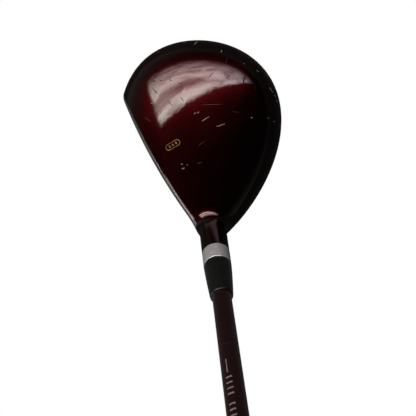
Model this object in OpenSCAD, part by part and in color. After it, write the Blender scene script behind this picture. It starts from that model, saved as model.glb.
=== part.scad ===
// Fairway wood: a right-handed golf club with a welded steel head.
// Units are millimetres. +X runs from toe to heel, +Y from the face to the back, +Z up.
// The origin is the middle of the sole plate's flat, on the ground with the club at address.

/* [Head] */
// Length of the head from toe to heel
head_len = 102; // [94:1:122]
// Depth of the head from the face to the back
head_depth = 73.5; // [66:0.5:88]
// Height of the crown's top above the ground
crown_h = 37; // [33:0.5:44]
// Half of the depth of the egg-shaped plan, before the face cuts it
plan_half = 46.5; // [42:0.5:51]
// How far the plan leans towards the face at the heel, and away from it at the toe
plan_sweep = 16; // [12:0.5:19]
// How far both ends of the plan bow towards the face
plan_bow = 12; // [8:0.5:14]
// Growth of the plan's half-depth from its middle to the heel
plan_swell = 0.08; // [0:0.01:0.12]
// Height of the head's widest line at the middle of the plan
equator_h = 18; // [15:0.5:21]
// Fall of the widest line for each millimetre towards the back
equator_fall = 0.1; // [0.05:0.01:0.15]
// Fullness of the crown's curve, where 2 is an ellipse
crown_full = 2.2; // [2:0.1:2.8]
// Fullness of the sole's curve, where 2 is an ellipse
sole_full = 3; // [2.4:0.1:3.6]
// Height of the sole shell's lowest line, which the sole plate stands proud of
sole_lift = 0.3; // [0.2:0.1:0.8]
// Wall of the crown shell and the sole shell
shell_t = 1.2; // [0.9:0.1:1.6]

/* [Face] */
// Loft, the face's lean back from upright, in degrees
loft = 17; // [13:1:21]
// Radius of the face's bulge and roll
face_r = 280; // [220:10:340]
// Height of the face's middle above the ground
face_h = 17; // [15:0.5:20]
// Softness of the edge between the face and the body
face_edge = 1.5; // [1:0.1:2.5]
// Distance from the edge of the face in to the face plate
face_inset = 2.4; // [2:0.1:4]
// Half of the face plate's length
face_half = 33; // [28:0.5:36]
// Distance of the face plate's middle from the sole's middle, towards the toe
face_toe = 3; // [0:0.5:6]
// Thickness of the face plate
face_t = 2.8; // [2.2:0.1:3.4]

/* [Sole] */
// Distance from the face's middle back to the middle of the sole plate
rest_back = 33; // [28:0.5:40]
// Diameter of the sole plate
sole_plate_d = 36; // [28:1:42]
// Thickness of the sole plate
sole_plate_t = 1.6; // [1.2:0.1:2.4]
// Thickness of the back weight at its middle
weight_t = 4; // [2:0.5:6]
// Half of the angle that the back weight spans round the back, in degrees
weight_half_a = 40; // [20:5:50]
// Gap between a pressed piece and its seat
fit = 0.04; // [0.02:0.01:0.1]
// Gap between the foam and the walls around it
foam_gap = 0.7; // [0.5:0.1:1.5]

/* [Hosel] */
// Lie, the shaft's angle to the ground, in degrees
lie = 57; // [54:0.5:60]
// Distance from the sole's middle to where the shaft's line meets the ground, towards the heel
axis_heel = 21; // [18:0.5:26]
// Distance of the shaft's line behind the face's middle
axis_back = 14.5; // [12:0.5:18]
// Outer diameter of the neck and of the hosel's bare collar
neck_d = 13.6; // [13:0.1:14.6]
// Softness of the fillet between the neck and the crown
neck_blend = 6; // [4:0.5:9]
// Distance along the shaft's line from the ground to the top of the painted neck
neck_top = 58; // [54:0.5:64]
// Length of the bare collar
collar_len = 9.5; // [6:0.5:12]
// Wall of the neck around the hosel tube
neck_t = 0.9; // [0.7:0.1:1.1]
// Depth of the shaft in the hosel
bore_depth = 38; // [32:1:42]
// Thickness of the hosel tube's blind end
hosel_floor = 3; // [2:0.5:5]
// Thickness of the glue between the shaft and the hosel
glue_t = 0.2; // [0.1:0.05:0.3]

/* [Ferrule] */
// Length of the ferrule
ferrule_len = 22; // [15:1:28]
// Diameter of the ferrule's upper end
ferrule_end_d = 11; // [10.6:0.1:12]
// Radius of the round on the ferrule's upper end
ferrule_round = 0.7; // [0.3:0.1:0.9]

/* [Shaft] */
// Length of the club from the ground to the grip cap's end, along the shaft
club_len = 1090; // [900:5:1310]
// Diameter of the shaft at its tip
tip_d = 9; // [8.5:0.1:9.4]
// Diameter of the shaft at its butt
butt_d = 15.2; // [14.5:0.1:16]
// Wall of the shaft
shaft_t = 1.2; // [0.9:0.1:1.6]
// Length of the parallel stretch at the tip
tip_parallel = 42; // [35:1:60]
// Length of the tip weight inside the shaft
tip_weight_len = 18; // [8:1:30]
// Thickness of the tip weight's head under the shaft's tip
tip_weight_head = 1.2; // [0.8:0.1:2]

/* [Grip] */
// Length of the grip with its cap
grip_len = 268; // [220:2:330]
// Diameter of the grip at its mouth
grip_mouth_d = 18.6; // [17.5:0.1:20]
// Diameter of the grip at its butt
grip_butt_d = 26.4; // [25:0.1:28]
// Diameter of the cap's rim
cap_d = 29.5; // [28.5:0.1:33]
// Thickness of the cap
cap_t = 5; // [4:0.5:8]
// Diameter of the vent hole in the cap
vent_d = 3.2; // [2:0.1:5]
// Thickness of the tape under the grip
tape_t = 0.4; // [0.2:0.1:0.8]
// Distance from the grip's mouth to the tape
tape_back = 12; // [5:1:25]

/* [Crown mark] */
// Length of the alignment mark, from front to back
mark_len = 8.4; // [5:0.2:12]
// Width of the alignment mark
mark_w = 3.2; // [2.4:0.2:5]
// Width of the mark's line
mark_line = 0.5; // [0.3:0.1:0.8]
// Distance of the mark's middle behind the face's middle
mark_back = 19.5; // [12:0.5:28]
// Distance of the mark's middle from the sole's middle, towards the toe
mark_toe = 4.5; // [-4:0.5:8]
// Thickness of the mark
mark_t = 0.12; // [0.08:0.02:0.3]

/* [Hidden] */
$fn = 96;

// Steps of the head's surfaces: along half of the face plate's outline, round the rest
// of the rim, up the neck, over the crown, down from its shoulder and under the sole.
n_face = 22;
n_back = 50;
n_neck = 4;
n_crown = 11;
n_edge = 5;
n_sole = 9;

half_len = head_len / 2;
plan_y = head_depth - plan_half;
neck_r = neck_d / 2;
tube_r = neck_r - neck_t;
tube_bore = tube_r + fit;
pocket_r = sole_plate_d / 2 + fit;
collar_top = neck_top + collar_len;
bore_r = tip_d / 2 + glue_t;
bore_end = collar_top - bore_depth;
shaft_tip = bore_end + tip_weight_head;
taper_from = shaft_tip + tip_parallel;
shaft_butt = club_len - cap_t;
grip_mouth = club_len - grip_len;
pocket_z = sole_plate_t;
// Length along the shaft's line at which the neck starts inside the body.
neck_start = 4;
neck_root = equator_h + neck_start;
// A distance that leads out of the head from any point inside it.
outside = head_len + 10;

// Axis of the shaft: its foot on the ground and its direction.
foot = [axis_heel, axis_back, 0];
up_shaft = [cos(lie), 0, sin(lie)];
// Middle, upward direction and outward normal of the face.
face_mid = [0, 0, face_h];
face_up = [0, sin(loft), cos(loft)];
face_out = [0, -cos(loft), sin(loft)];
face_hub = face_mid - face_r * face_out;

// ---- Curves of the head ----

function unit(v) = v / norm(v);
function mix(a, b, t) = a + (b - a) * t;
function soft_min(a, b, k) =
    let (h = min(1, max(0, 0.5 + 0.5 * (b - a) / k)))
    b + (a - b) * h - k * h * (1 - h);
function soft_max(a, b, k) = -soft_min(-a, -b, k);

// Height of the widest line, and the plan's centre line for u from -1 at the toe to 1.
function equator_z(y) = equator_h - equator_fall * (y - plan_y);
function plan_mid(u) = plan_y - plan_sweep * u - plan_bow * u * u;

// Below 0 inside the egg-shaped body, 0 on it and above 0 outside.
function egg(p) =
    let (
        u = p.x / half_len,
        q = norm([u, (p.y - plan_mid(u)) / (plan_half * (1 + plan_swell * u))]),
        e = equator_z(p.y),
        over = p.z >= e,
        h = over ? (p.z - e) / (crown_h - e) : (e - p.z) / (e - sole_lift),
        n = over ? crown_full : sole_full
    )
    pow(pow(h, n) + pow(q, n), 1 / n) - 1;

// About the distance from the body, from the face and from the shaft's line.
function off_egg(p) =
    let (
        f = egg(p),
        d = 0.05,
        g = norm([egg(p + [d, 0, 0]) - f, egg(p + [0, d, 0]) - f, egg(p + [0, 0, d]) - f]) / d
    )
    max(-equator_h, f / max(g, 0.000001));
function off_face(p) = norm(p - face_hub) - face_r;
function off_axis(p) = norm(cross(p - foot, up_shaft));

// The whole outer skin: the egg cut by the face and blended into the neck.
function skin(p) =
    soft_min(
        soft_max(off_egg(p), off_face(p), face_edge),
        max(off_axis(p) - neck_r, neck_root - (p - foot) * up_shaft),
        neck_blend
    );
function skin_out(p) =
    let (f = skin(p), d = 0.05)
    unit([skin(p + [d, 0, 0]) - f, skin(p + [0, d, 0]) - f, skin(p + [0, 0, d]) - f]);

// The place between a and b where f changes its sign.
function root(f, a, b) = root_step(f, a, b, f(a), f(b), 12);
function root_step(f, a, b, fa, fb, n) =
    let (m = (a * fb - b * fa) / (fb - fa), fm = f(m))
    n == 0 || abs(fm) < 0.0005 ? m
    : fm * fb < 0 ? root_step(f, b, m, fb, fm, n - 1)
    : root_step(f, a, m, fa / 2, fm, n - 1);

// The point of the skin seen from a point inside, along a direction.
function skin_hit(from, way, far) =
    let (d = unit(way))
    from + d * root(function (r) skin(from + r * d), 0.5, far);

// ---- The rim where crown shell, sole shell and face plate meet ----

// A point of the face at an angle and a distance from its middle.
function on_face(a, r) =
    face_mid + [r * cos(a), 0, 0] + r * sin(a) * face_up
    - (face_r - sqrt(face_r * face_r - r * r)) * face_out;
function face_normal(p) = unit(p - face_hub);

// The face plate's outline: the edge of the face drawn in, and rounded off at both ends.
end_round = 8;
face_far = half_len + 12;
function outline_gap(p) =
    soft_max(off_egg(p) + face_inset, abs(p.x + face_toe) - face_half, end_round);
function outline_r(a) = root(function (r) outline_gap(on_face(a, r)), 1, face_far);
function outline(a) = on_face(a, outline_r(a));

// The widest line, at an angle round the middle of the plan.
plan_hub = [0, plan_y, equator_h];
function equator(a) =
    skin_hit(plan_hub, [cos(a), sin(a), -equator_fall * sin(a)], outside);
function plan_angle(p) = atan2(p.y - plan_y, p.x);

// Rim points, in one order for both shells: along the face from heel to toe, then round the
// back. The side is 1 for the crown's half of the face and -1 for the sole's half.
function rim(side) =
    let (
        heel = outline(0),
        toe = outline(180),
        a0 = plan_angle(toe),
        a1 = plan_angle(heel) - 360
    )
    [
        for (i = [0:n_face - 1]) outline(side * 180 * i / n_face),
        toe,
        for (i = [1:n_back - 1]) equator(mix(a0, a1, i / n_back))
    ];

// Inward step from a rim point: square to the face along the face plate, and to the skin elsewhere.
function rim_in(p, i) = p - shell_t * (i <= n_face ? face_normal(p) : skin_out(p));

// ---- Grids of the two shells ----

// Inside point on the shaft's line from which all of the crown is seen.
hub = foot + equator_h * up_shaft;
// Where the shaft's line leaves the body, and the neck's length along it above the fillet.
function crossing() = root(function (s) off_egg(foot + s * up_shaft), 18, 80);
function fillet_top() = min(neck_top - 1, crossing() + neck_blend + 2);

function axis_point(s) = foot + s * up_shaft;
// Direction square to the shaft's line, towards a point.
function square_to_axis(p) =
    let (v = p - foot)
    unit(v - (v * up_shaft) * up_shaft);
// The same point, moved out from the shaft's line to at least a radius.
function clear_of_axis(p, r) =
    let (v = p - foot, s = v * up_shaft, w = v - s * up_shaft, d = norm(w))
    d >= r ? p : foot + s * up_shaft + w * (r / d);

function ease(t) = (1 - cos(180 * t)) / 2;

// A point of the crown a little above and behind a rim point, through which its column runs,
// so that the columns come to the face plate's outline from outside it.
shoulder = [4, 6, 8];
function over_rim(p, i) =
    let (
        side = i <= n_face ? cos(180 * i / n_face) : 0,
        front = max(0, (plan_y - p.y) / norm([p.x, plan_y - p.y])),
        lift = [shoulder.x * side, shoulder.y * front, shoulder.z]
    )
    skin_hit(plan_hub, p + lift - plan_hub, outside);

// Outer crown points: rows down the neck, rows out to the shoulder, and rows down to the rim.
function crown_outer(r) =
    let (top = fillet_top())
    [
        for (k = [0:n_neck])
            let (s = mix(neck_top, top, k / n_neck))
            [
                for (p = r)
                    let (d = square_to_axis(p), c = axis_point(s))
                    k == 0 ? c + neck_r * d
                    : c + d * root(function (x) skin(c + x * d), neck_r - 1, neck_r + 6)
            ],
        for (k = [1:n_crown])
            [
                for (i = [0:len(r) - 1])
                    let (b = axis_point(top) + neck_r * square_to_axis(r[i]), g = over_rim(r[i], i))
                    skin_hit(hub, mix(b, g, ease(k / n_crown)) - hub, outside)
            ],
        for (k = [1:n_edge - 1])
            [
                for (i = [0:len(r) - 1])
                    let (g = over_rim(r[i], i))
                    skin_hit(plan_hub, mix(g, r[i], k / n_edge) - plan_hub, outside)
            ],
        r
    ];

// Radius of the bore's corner in column i, wide enough for its flats to clear the hosel tube.
function bore_corner(ways, i) =
    let (
        n = len(ways),
        turn = min(ways[i] * ways[(i + 1) % n], ways[i] * ways[(i + n - 1) % n])
    )
    tube_bore / sqrt((1 + turn) / 2);

function crown_inner(outer, r) =
    let (
        ways = [for (p = r) square_to_axis(p)],
        bores = [for (i = [0:len(r) - 1]) bore_corner(ways, i)]
    )
    [
        for (k = [0:len(outer) - 1])
            [
                for (i = [0:len(r) - 1])
                    let (p = outer[k][i])
                    k <= n_neck ? p + (bores[i] - off_axis(p)) * square_to_axis(p)
                    : k == len(outer) - 1 ? rim_in(p, i)
                    : clear_of_axis(p - shell_t * skin_out(p), bores[i])
            ]
    ];

// Sole points: rows from the rim in to the pocket's edge, then the pocket's wall and floor.
sole_mid = [0, rest_back, 0];
function flat_way(p) = unit([p.x, p.y - rest_back, 0]);
function sole_outer(r) =
    [
        r,
        for (k = [1:n_sole])
            let (t = k / n_sole)
            [
                for (p = r)
                    let (
                        e = sole_mid + pocket_r * flat_way(p),
                        g = mix(p, e + [0, 0, sole_lift], sin(90 * t))
                    )
                    k < n_sole ? skin_hit(plan_hub, g - plan_hub, outside)
                    : [e.x, e.y, root(function (z) skin([e.x, e.y, z]), -6, equator_h / 2)]
            ],
        [for (p = r) sole_mid + pocket_r * flat_way(p) + [0, 0, pocket_z]]
    ];
// Growth of the inner rows' least radius, from each row to the next one out.
row_growth = 0.3;
function sole_inner(outer, r) =
    [
        [for (i = [0:len(r) - 1]) rim_in(r[i], i)],
        for (k = [1:n_sole - 1])
            let (least = pocket_r + shell_t + row_growth * (n_sole - k))
            [for (p = outer[k]) clear_of_pocket(p - shell_t * skin_out(p), least)],
        [
            for (p = outer[n_sole])
                let (e = sole_mid + (pocket_r + shell_t) * flat_way(p))
                [e.x, e.y, p.z + shell_t]
        ],
        [for (p = r) sole_mid + (pocket_r + shell_t) * flat_way(p) + [0, 0, pocket_z + shell_t]]
    ];
function clear_of_pocket(p, r) =
    let (v = [p.x, p.y - rest_back, 0], d = norm(v))
    d >= r ? p : [v.x * r / d, rest_back + v.y * r / d, p.z];

// ---- Closed solids from grids ----

// Triangles of the strip between rows a and b of n points, closed round or open at the side.
function strip(a, b, n, round = true) =
    [
        for (i = [0:round ? n - 1 : n - 2])
            let (j = (i + 1) % n)
            each [
                [a * n + i, a * n + j, b * n + j],
                [a * n + i, b * n + j, b * n + i]
            ]
    ];
function turned(faces) = [for (f = faces) [f[0], f[2], f[1]]];

// A shell with an opening: its outer rows, then its inner rows, joined at both ends.
module open_shell(outer, inner) {
    n = len(outer[0]);
    m = len(outer);
    rows = concat(outer, [for (k = [m - 1:-1:0]) inner[k]]);
    polyhedron(
        points = [for (row = rows) each row],
        faces = [for (k = [0:2 * m - 1]) each turned(strip(k, (k + 1) % (2 * m), n))],
        convexity = 6
    );
}

// A solid of rings, from one end point to the other, with a fan at each end.
module ringed(from, rows, to) {
    n = len(rows[0]);
    m = len(rows);
    polyhedron(
        points = concat([for (row = rows) each row], [from, to]),
        faces = concat(
            [for (k = [0:m - 2]) each strip(k, k + 1, n)],
            [for (i = [0:n - 1]) [m * n, (i + 1) % n, i]],
            [for (i = [0:n - 1]) [m * n + 1, (m - 1) * n + i, (m - 1) * n + (i + 1) % n]]
        ),
        convexity = 6
    );
}

// A slab between a lower and an upper grid of m rows of n points.
module slab(lower, upper) {
    m = len(lower);
    n = len(lower[0]);
    below = [for (k = [0:m - 2]) each strip(k, k + 1, n, false)];
    s = m * n;
    edge = concat(
        [for (i = [0:n - 2]) [i, i + 1]],
        [for (k = [0:m - 2]) [k * n + n - 1, (k + 1) * n + n - 1]],
        [for (i = [n - 1:-1:1]) [(m - 1) * n + i, (m - 1) * n + i - 1]],
        [for (k = [m - 1:-1:1]) [k * n, (k - 1) * n]]
    );
    polyhedron(
        points = concat([for (row = lower) each row], [for (row = upper) each row]),
        faces = concat(
            turned(below),
            [for (f = below) [f[0] + s, f[1] + s, f[2] + s]],
            [for (e = edge) each [[e[0], e[1], e[0] + s], [e[1], e[1] + s, e[0] + s]]]
        ),
        convexity = 6
    );
}

// Moves from the face's middle to the sole plate's middle.
module at_rest() {
    translate([0, -rest_back, 0]) children();
}
// Stands along the shaft, with z measured from the ground along it.
module on_shaft() {
    at_rest() translate(foot) rotate([0, 90 - lie, 0]) children();
}

// ---- Head ----

module crown_shell() {
    r = rim(1);
    outer = crown_outer(r);
    color("#2a0d10") at_rest() open_shell(outer, crown_inner(outer, r));
}

module sole_shell() {
    r = rim(-1);
    outer = sole_outer(r);
    inner = sole_inner(outer, r);
    rows = concat([for (k = [len(outer) - 1:-1:0]) outer[k]], inner);
    color("#8b8d8b") at_rest()
        ringed(sole_mid + [0, 0, pocket_z], rows, sole_mid + [0, 0, pocket_z + shell_t]);
}

// The plate is as thin as the shells at its welded edge and has its full thickness inside it.
module face_plate() {
    angles = concat(
        [for (i = [0:n_face]) 180 * i / n_face],
        [for (i = [n_face - 1:-1:1]) -180 * i / n_face]
    );
    radii = [for (a = angles) outline_r(a)];
    bevel = face_t - shell_t;
    function ring(shrink, part) =
        [for (i = [0:len(angles) - 1]) on_face(angles[i], (radii[i] - shrink) * part)];
    function sunk(row, depth) = [for (p = row) p - depth * face_normal(p)];
    front = [for (k = [1:5]) ring(0, k / 5)];
    back = [for (k = [5:-1:1]) sunk(ring(bevel, k / 5), face_t)];
    color("#8f9190") at_rest()
        ringed(face_mid, concat(front, [sunk(front[4], shell_t)], back), face_mid - face_t * face_out);
}

module sole_plate() {
    bevel = 0.3;
    color("#a3a5a4")
        rotate_extrude()
            polygon([
                [0, 0],
                [sole_plate_d / 2 - bevel, 0],
                [sole_plate_d / 2, bevel],
                [sole_plate_d / 2, sole_plate_t],
                [0, sole_plate_t]
            ]);
}

// A pad on the inside of the sole shell, thickest in its middle, low round the back.
module back_weight() {
    r = rim(-1);
    outer = sole_outer(r);
    inner = sole_inner(outer, r);
    back = round(n_face + n_back / 2);
    wide = round(n_back * weight_half_a / 255);
    rows = [1:n_sole - 3];
    function rise(k, i) =
        weight_t * (0.3 + 0.7 * cos(90 * i / wide) * sin(180 * (k - 1) / (n_sole - 4)));
    lower = [for (k = rows) [for (i = [-wide:wide]) inner[k][back + i]]];
    upper = [
        for (k = rows)
            [for (i = [-wide:wide]) inner[k][back + i] - rise(k, i) * skin_out(outer[k][back + i])]
    ];
    color("#77797a") at_rest() slab(lower, upper);
}

// The foam fills the hollow from the toe to the hosel. It rests on the pocket and is clear of
// the other walls, of the back weight and of the neck's sleeve.
foam_mid = [-face_toe, plan_y, equator_h] + [-5, 4, 0];
// How far the stretch that clears the back weight reaches above and beside it.
weight_over_h = 2;
weight_over_a = 15;
function off_foam(p) =
    let (
        low = p.z < equator_z(p.y) + weight_over_h,
        back = abs(plan_angle(p) - 90) < weight_half_a + weight_over_a,
        wall = shell_t + foam_gap + (low && back ? weight_t + foam_gap : 0)
    )
    max(
        off_egg(p) + wall,
        off_face(p) + face_t + foam_gap,
        (p - foot) * [sin(lie), 0, -cos(lie)] + tube_r + shell_t + foam_gap,
        pocket_z + shell_t - p.z
    );
module foam_core() {
    n = 36;
    m = 18;
    function hit(a, e) =
        let (d = [cos(e) * cos(a), cos(e) * sin(a), sin(e)])
        foam_mid + d * root(function (x) off_foam(foam_mid + x * d), 0.5, outside);
    rows = [for (k = [1:m - 1]) [for (i = [0:n - 1]) hit(360 * i / n, 90 - 180 * k / m)]];
    color("#c9b77a") at_rest() ringed(hit(0, 90), rows, hit(0, -90));
}

// A thin raised line in the shape of a stadium, laid on the crown.
module crown_mark() {
    n = 48;
    function lane(i, w) =
        let (
            a = 360 * i / n,
            r = mark_w / 2 - w,
            d = mark_len / 2 - mark_w / 2,
            x = r * cos(a),
            y = r * sin(a) + (a > 0 && a < 180 ? d : a > 180 ? -d : 0)
        )
        on_crown(-mark_toe + x, mark_back + y);
    outer = [for (i = [0:n - 1]) lane(i, 0)];
    inner = [for (i = [0:n - 1]) lane(i, mark_line)];
    color("#c79a3c") at_rest()
        open_shell(
            [[for (p = inner) p], [for (p = outer) p]],
            [
                [for (p = inner) p + mark_t * skin_out(p)],
                [for (p = outer) p + mark_t * skin_out(p)]
            ]
        );
}
function on_crown(x, y) =
    [x, y, root(function (z) skin([x, y, z]), equator_h, crown_h + 6)];

// ---- Hosel and ferrule ----

module hosel_tube() {
    bevel = 0.25;
    color("#9b9c98") on_shaft()
        rotate_extrude()
            polygon([
                [0, bore_end - hosel_floor],
                [tube_r, bore_end - hosel_floor],
                [tube_r, neck_top],
                [neck_r, neck_top],
                [neck_r, collar_top - bevel],
                [neck_r - bevel, collar_top],
                [bore_r, collar_top],
                [bore_r, bore_end],
                [0, bore_end]
            ]);
}

module epoxy_bond() {
    color("#b9a86a") on_shaft()
        rotate_extrude()
            polygon([
                [tip_d / 2, shaft_tip],
                [bore_r, shaft_tip],
                [bore_r, collar_top],
                [tip_d / 2, collar_top]
            ]);
}

module ferrule() {
    bevel = 0.1;
    r = ferrule_end_d / 2;
    top = collar_top + ferrule_len;
    color("#141516") on_shaft()
        rotate_extrude()
            polygon(concat(
                [
                    [shaft_r(collar_top), collar_top],
                    [neck_r - bevel, collar_top],
                    [neck_r, collar_top + bevel]
                ],
                [
                    for (a = [0:15:90])
                        [r - ferrule_round * (1 - cos(a)), top - ferrule_round * (1 - sin(a))]
                ],
                [[shaft_r(top), top]],
                taper_from > collar_top && taper_from < top ? [[shaft_r(taper_from), taper_from]] : []
            ));
}

// ---- Shaft ----

// Outer radius of the shaft at a height along its line.
function shaft_r(s) =
    tip_d / 2 + (butt_d - tip_d) / 2 * max(0, (s - taper_from) / (shaft_butt - taper_from));

module shaft() {
    color("#331719") on_shaft()
        rotate_extrude()
            polygon([
                [tip_d / 2 - shaft_t, shaft_tip],
                [tip_d / 2, shaft_tip],
                [tip_d / 2, taper_from],
                [butt_d / 2, shaft_butt],
                [butt_d / 2 - shaft_t, shaft_butt],
                [tip_d / 2 - shaft_t, taper_from]
            ]);
}

module tip_weight() {
    color("#b08d3e") on_shaft() {
        translate([0, 0, bore_end]) cylinder(r = tip_d / 2, h = tip_weight_head);
        translate([0, 0, shaft_tip]) cylinder(r = tip_d / 2 - shaft_t, h = tip_weight_len);
    }
}

// ---- Grip ----

module grip_tape() {
    from = grip_mouth + tape_back;
    color("#d8d2c4") on_shaft()
        rotate_extrude()
            polygon([
                [shaft_r(from), from],
                [shaft_r(from) + tape_t, from],
                [shaft_r(shaft_butt) + tape_t, shaft_butt],
                [shaft_r(shaft_butt), shaft_butt]
            ]);
}

module grip() {
    from = grip_mouth + tape_back;
    lip = 1.5;
    color("#1b1b1c") on_shaft()
        rotate_extrude()
            polygon(concat(
                [[shaft_r(grip_mouth), grip_mouth]],
                [
                    for (a = [-90:15:0])
                        [grip_mouth_d / 2 - lip * (1 - cos(a)), grip_mouth + lip * (1 + sin(a))]
                ],
                [
                    [grip_butt_d / 2, shaft_butt],
                    [shaft_r(shaft_butt) + tape_t, shaft_butt],
                    [shaft_r(from) + tape_t, from],
                    [shaft_r(from), from]
                ]
            ));
}

module grip_cap() {
    r = cap_d / 2;
    edge = cap_t * 0.45;
    dome = 1;
    color("#18181a") on_shaft()
        rotate_extrude()
            polygon(concat(
                [[vent_d / 2, shaft_butt], [r - edge * 0.5, shaft_butt]],
                [
                    for (a = [-60:15:90])
                        [r - edge * (1 - cos(a)), club_len - dome - edge * (1 - sin(a))]
                ],
                [[vent_d / 2, club_len]]
            ));
}

crown_shell();
sole_shell();
face_plate();
sole_plate();
back_weight();
foam_core();
crown_mark();
hosel_tube();
epoxy_bond();
tip_weight();
ferrule();
shaft();
grip_tape();
grip();
grip_cap();
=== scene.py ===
"""Looks of a fairway wood, a golf club with a painted steel head, a graphite shaft and a rubber grip.

Lengths are metres in the row frame, except inside HeadForm, whose design is in millimetres.
"""

import logging
import math
from collections.abc import Callable, Sequence
from dataclasses import dataclass, field
from enum import Enum
from typing import Any

import bpy
import numpy as np
from mathutils import Matrix, Vector


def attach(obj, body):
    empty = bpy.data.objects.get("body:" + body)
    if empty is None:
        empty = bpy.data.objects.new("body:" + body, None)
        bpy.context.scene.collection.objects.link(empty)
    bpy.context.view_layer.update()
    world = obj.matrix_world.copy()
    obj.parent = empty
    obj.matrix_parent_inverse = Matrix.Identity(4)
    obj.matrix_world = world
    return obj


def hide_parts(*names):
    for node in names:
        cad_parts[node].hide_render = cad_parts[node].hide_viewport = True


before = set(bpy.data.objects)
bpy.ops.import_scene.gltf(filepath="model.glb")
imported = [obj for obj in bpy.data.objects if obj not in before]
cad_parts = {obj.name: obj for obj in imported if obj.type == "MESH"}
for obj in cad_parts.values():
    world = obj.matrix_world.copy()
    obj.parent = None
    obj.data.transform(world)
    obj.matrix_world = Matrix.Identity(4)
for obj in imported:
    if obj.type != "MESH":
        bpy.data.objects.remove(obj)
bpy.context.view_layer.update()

MM = 0.001
BODY = "root"
SEED = 11
# Steps that close in on a root, the millimetres between two places that give a slope, and a share
# that closes a bowl but for a tiny flat.
ROOT_STEPS = 16
PROBE = 0.05
ALMOST = 0.999
# The inputs of a Map Range that take in most of a noise's values, or the middle of them.
COMMON = {1: 0.3, 2: 0.7}
MIDDLE = {1: 0.35, 2: 0.65}
# Starts of the node types' names, in the order in which they are tried.
FAMILIES = ("ShaderNode", "GeometryNode", "FunctionNode", "Node")
SHAFT_UP = (math.cos(math.radians(57.0)), 0.0, math.sin(math.radians(57.0)))
Grid = np.ndarray
log = logging.getLogger("fairway_wood")


# ---- Small tools ----


def linear(colour: str) -> tuple[float, float, float, float]:
    """Turns an sRGB hex colour to linear light.

    Args:
        colour: Six hex digits after a hash sign.

    Returns:
        Red, green, blue and an alpha of 1.
    """
    parts = [int(colour[i:i + 2], 16) / 255 for i in (1, 3, 5)]
    r, g, b = (c / 12.92 if c <= 0.04045 else ((c + 0.055) / 1.055) ** 2.4 for c in parts)
    return r, g, b, 1.0


def join(tree: bpy.types.NodeTree, node: bpy.types.Node, values: dict[Any, Any]) -> None:
    """Sets or links a node's inputs.

    Args:
        tree: The shader or geometry tree.
        node: One of its nodes.
        values: For each input, by name or number, a value, an output socket, or a node whose
            first active output is meant.
    """
    for key, value in values.items():
        if isinstance(value, bpy.types.Node):
            value = next(out for out in value.outputs if out.enabled)
        if isinstance(value, bpy.types.NodeSocket):
            tree.links.new(value, node.inputs[key])
        else:
            node.inputs[key].default_value = value


def add(
    tree: bpy.types.NodeTree, kind: str, values: dict[Any, Any] | None = None, **settings: Any
) -> bpy.types.Node:
    """Adds a node to a tree.

    Args:
        tree: The shader or geometry tree.
        kind: The node's type name, without its family's.
        values: Its inputs, as join takes them.
        **settings: The node's own properties.

    Returns:
        The new node.
    """
    family = next(f for f in FAMILIES if hasattr(bpy.types, f + kind))
    node = tree.nodes.new(family + kind)
    for name, value in settings.items():
        setattr(node, name, value)
    join(tree, node, values or {})
    return node


def unit(v: Grid) -> Grid:
    """Vectors of length 1 along the last axis."""
    return v / np.linalg.norm(v, axis=-1, keepdims=True)


def mix(a: Any, b: Any, t: Any) -> Any:
    """The value a share t of the way from a to b."""
    return a + (b - a) * t


def ease(t: Any) -> Any:
    """A share that starts and ends slowly."""
    return (1 - np.cos(math.pi * t)) / 2


def root(f: Callable[[Grid], Grid], low: float, high: float, shape: tuple[int, ...]) -> Grid:
    """Finds where a function changes its sign, for many points at once.

    Args:
        f: Gives one value for each of the tried places.
        low: One side of the change.
        high: The other side.
        shape: Shape of the array of places.

    Returns:
        The places.
    """
    a, b = np.full(shape, float(low)), np.full(shape, float(high))
    fa, fb = f(a), f(b)
    for _ in range(ROOT_STEPS):
        m = (a * fb - b * fa) / np.where(fb == fa, 1e-12, fb - fa)
        fm = f(m)
        crossed = fm * fb < 0
        a, fa = np.where(crossed, b, a), np.where(crossed, fb, fa / 2)
        b, fb = m, fm
    return b


# ---- Meshes ----


def mesh_object(
    name: str, points: Grid, faces: Sequence[Sequence[int]], sharp: float = 35.0
) -> bpy.types.Object:
    """Makes a smooth-shaded object whose faces point outwards.

    Args:
        name: Name of the piece.
        points: Corners in metres, one row each.
        faces: Corner numbers of each face.
        sharp: Angle in degrees above which an edge stays sharp.

    Returns:
        The object, at the origin.
    """
    mesh = bpy.data.meshes.new(name)
    mesh.from_pydata(points.tolist(), [], [list(f) for f in faces])
    mesh.validate()
    mesh.calc_loop_triangles()
    corners = np.zeros(len(mesh.loop_triangles) * 3, int)
    mesh.loop_triangles.foreach_get("vertices", corners)
    a, b, c = (points[corners[i::3]] for i in range(3))
    if np.einsum("ij,ij->", a, np.cross(b, c)) < 0:
        mesh.flip_normals()
    mesh.shade_smooth()
    mesh.set_sharp_from_angle(angle=math.radians(sharp))
    piece = bpy.data.objects.new(name, mesh)
    bpy.context.scene.collection.objects.link(piece)
    return piece


def band_faces(rows: int, columns: int, closed: bool) -> list[tuple[int, int, int, int]]:
    """Quads between rows of points that run round.

    Args:
        rows: Number of rows.
        columns: Points in a row.
        closed: Whether the last row joins the first.

    Returns:
        Corner numbers of the quads.
    """
    out = []
    for k in range(rows if closed else rows - 1):
        below = (k + 1) % rows * columns
        for i in range(columns):
            j = (i + 1) % columns
            out.append((k * columns + i, k * columns + j, below + j, below + i))
    return out


def set_value(piece: bpy.types.Object, name: str, values: Grid) -> None:
    """Stores one number for each point of a piece."""
    attribute = piece.data.attributes.new(name, "FLOAT", "POINT")
    attribute.data.foreach_set("value", values.astype(np.float32))


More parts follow.
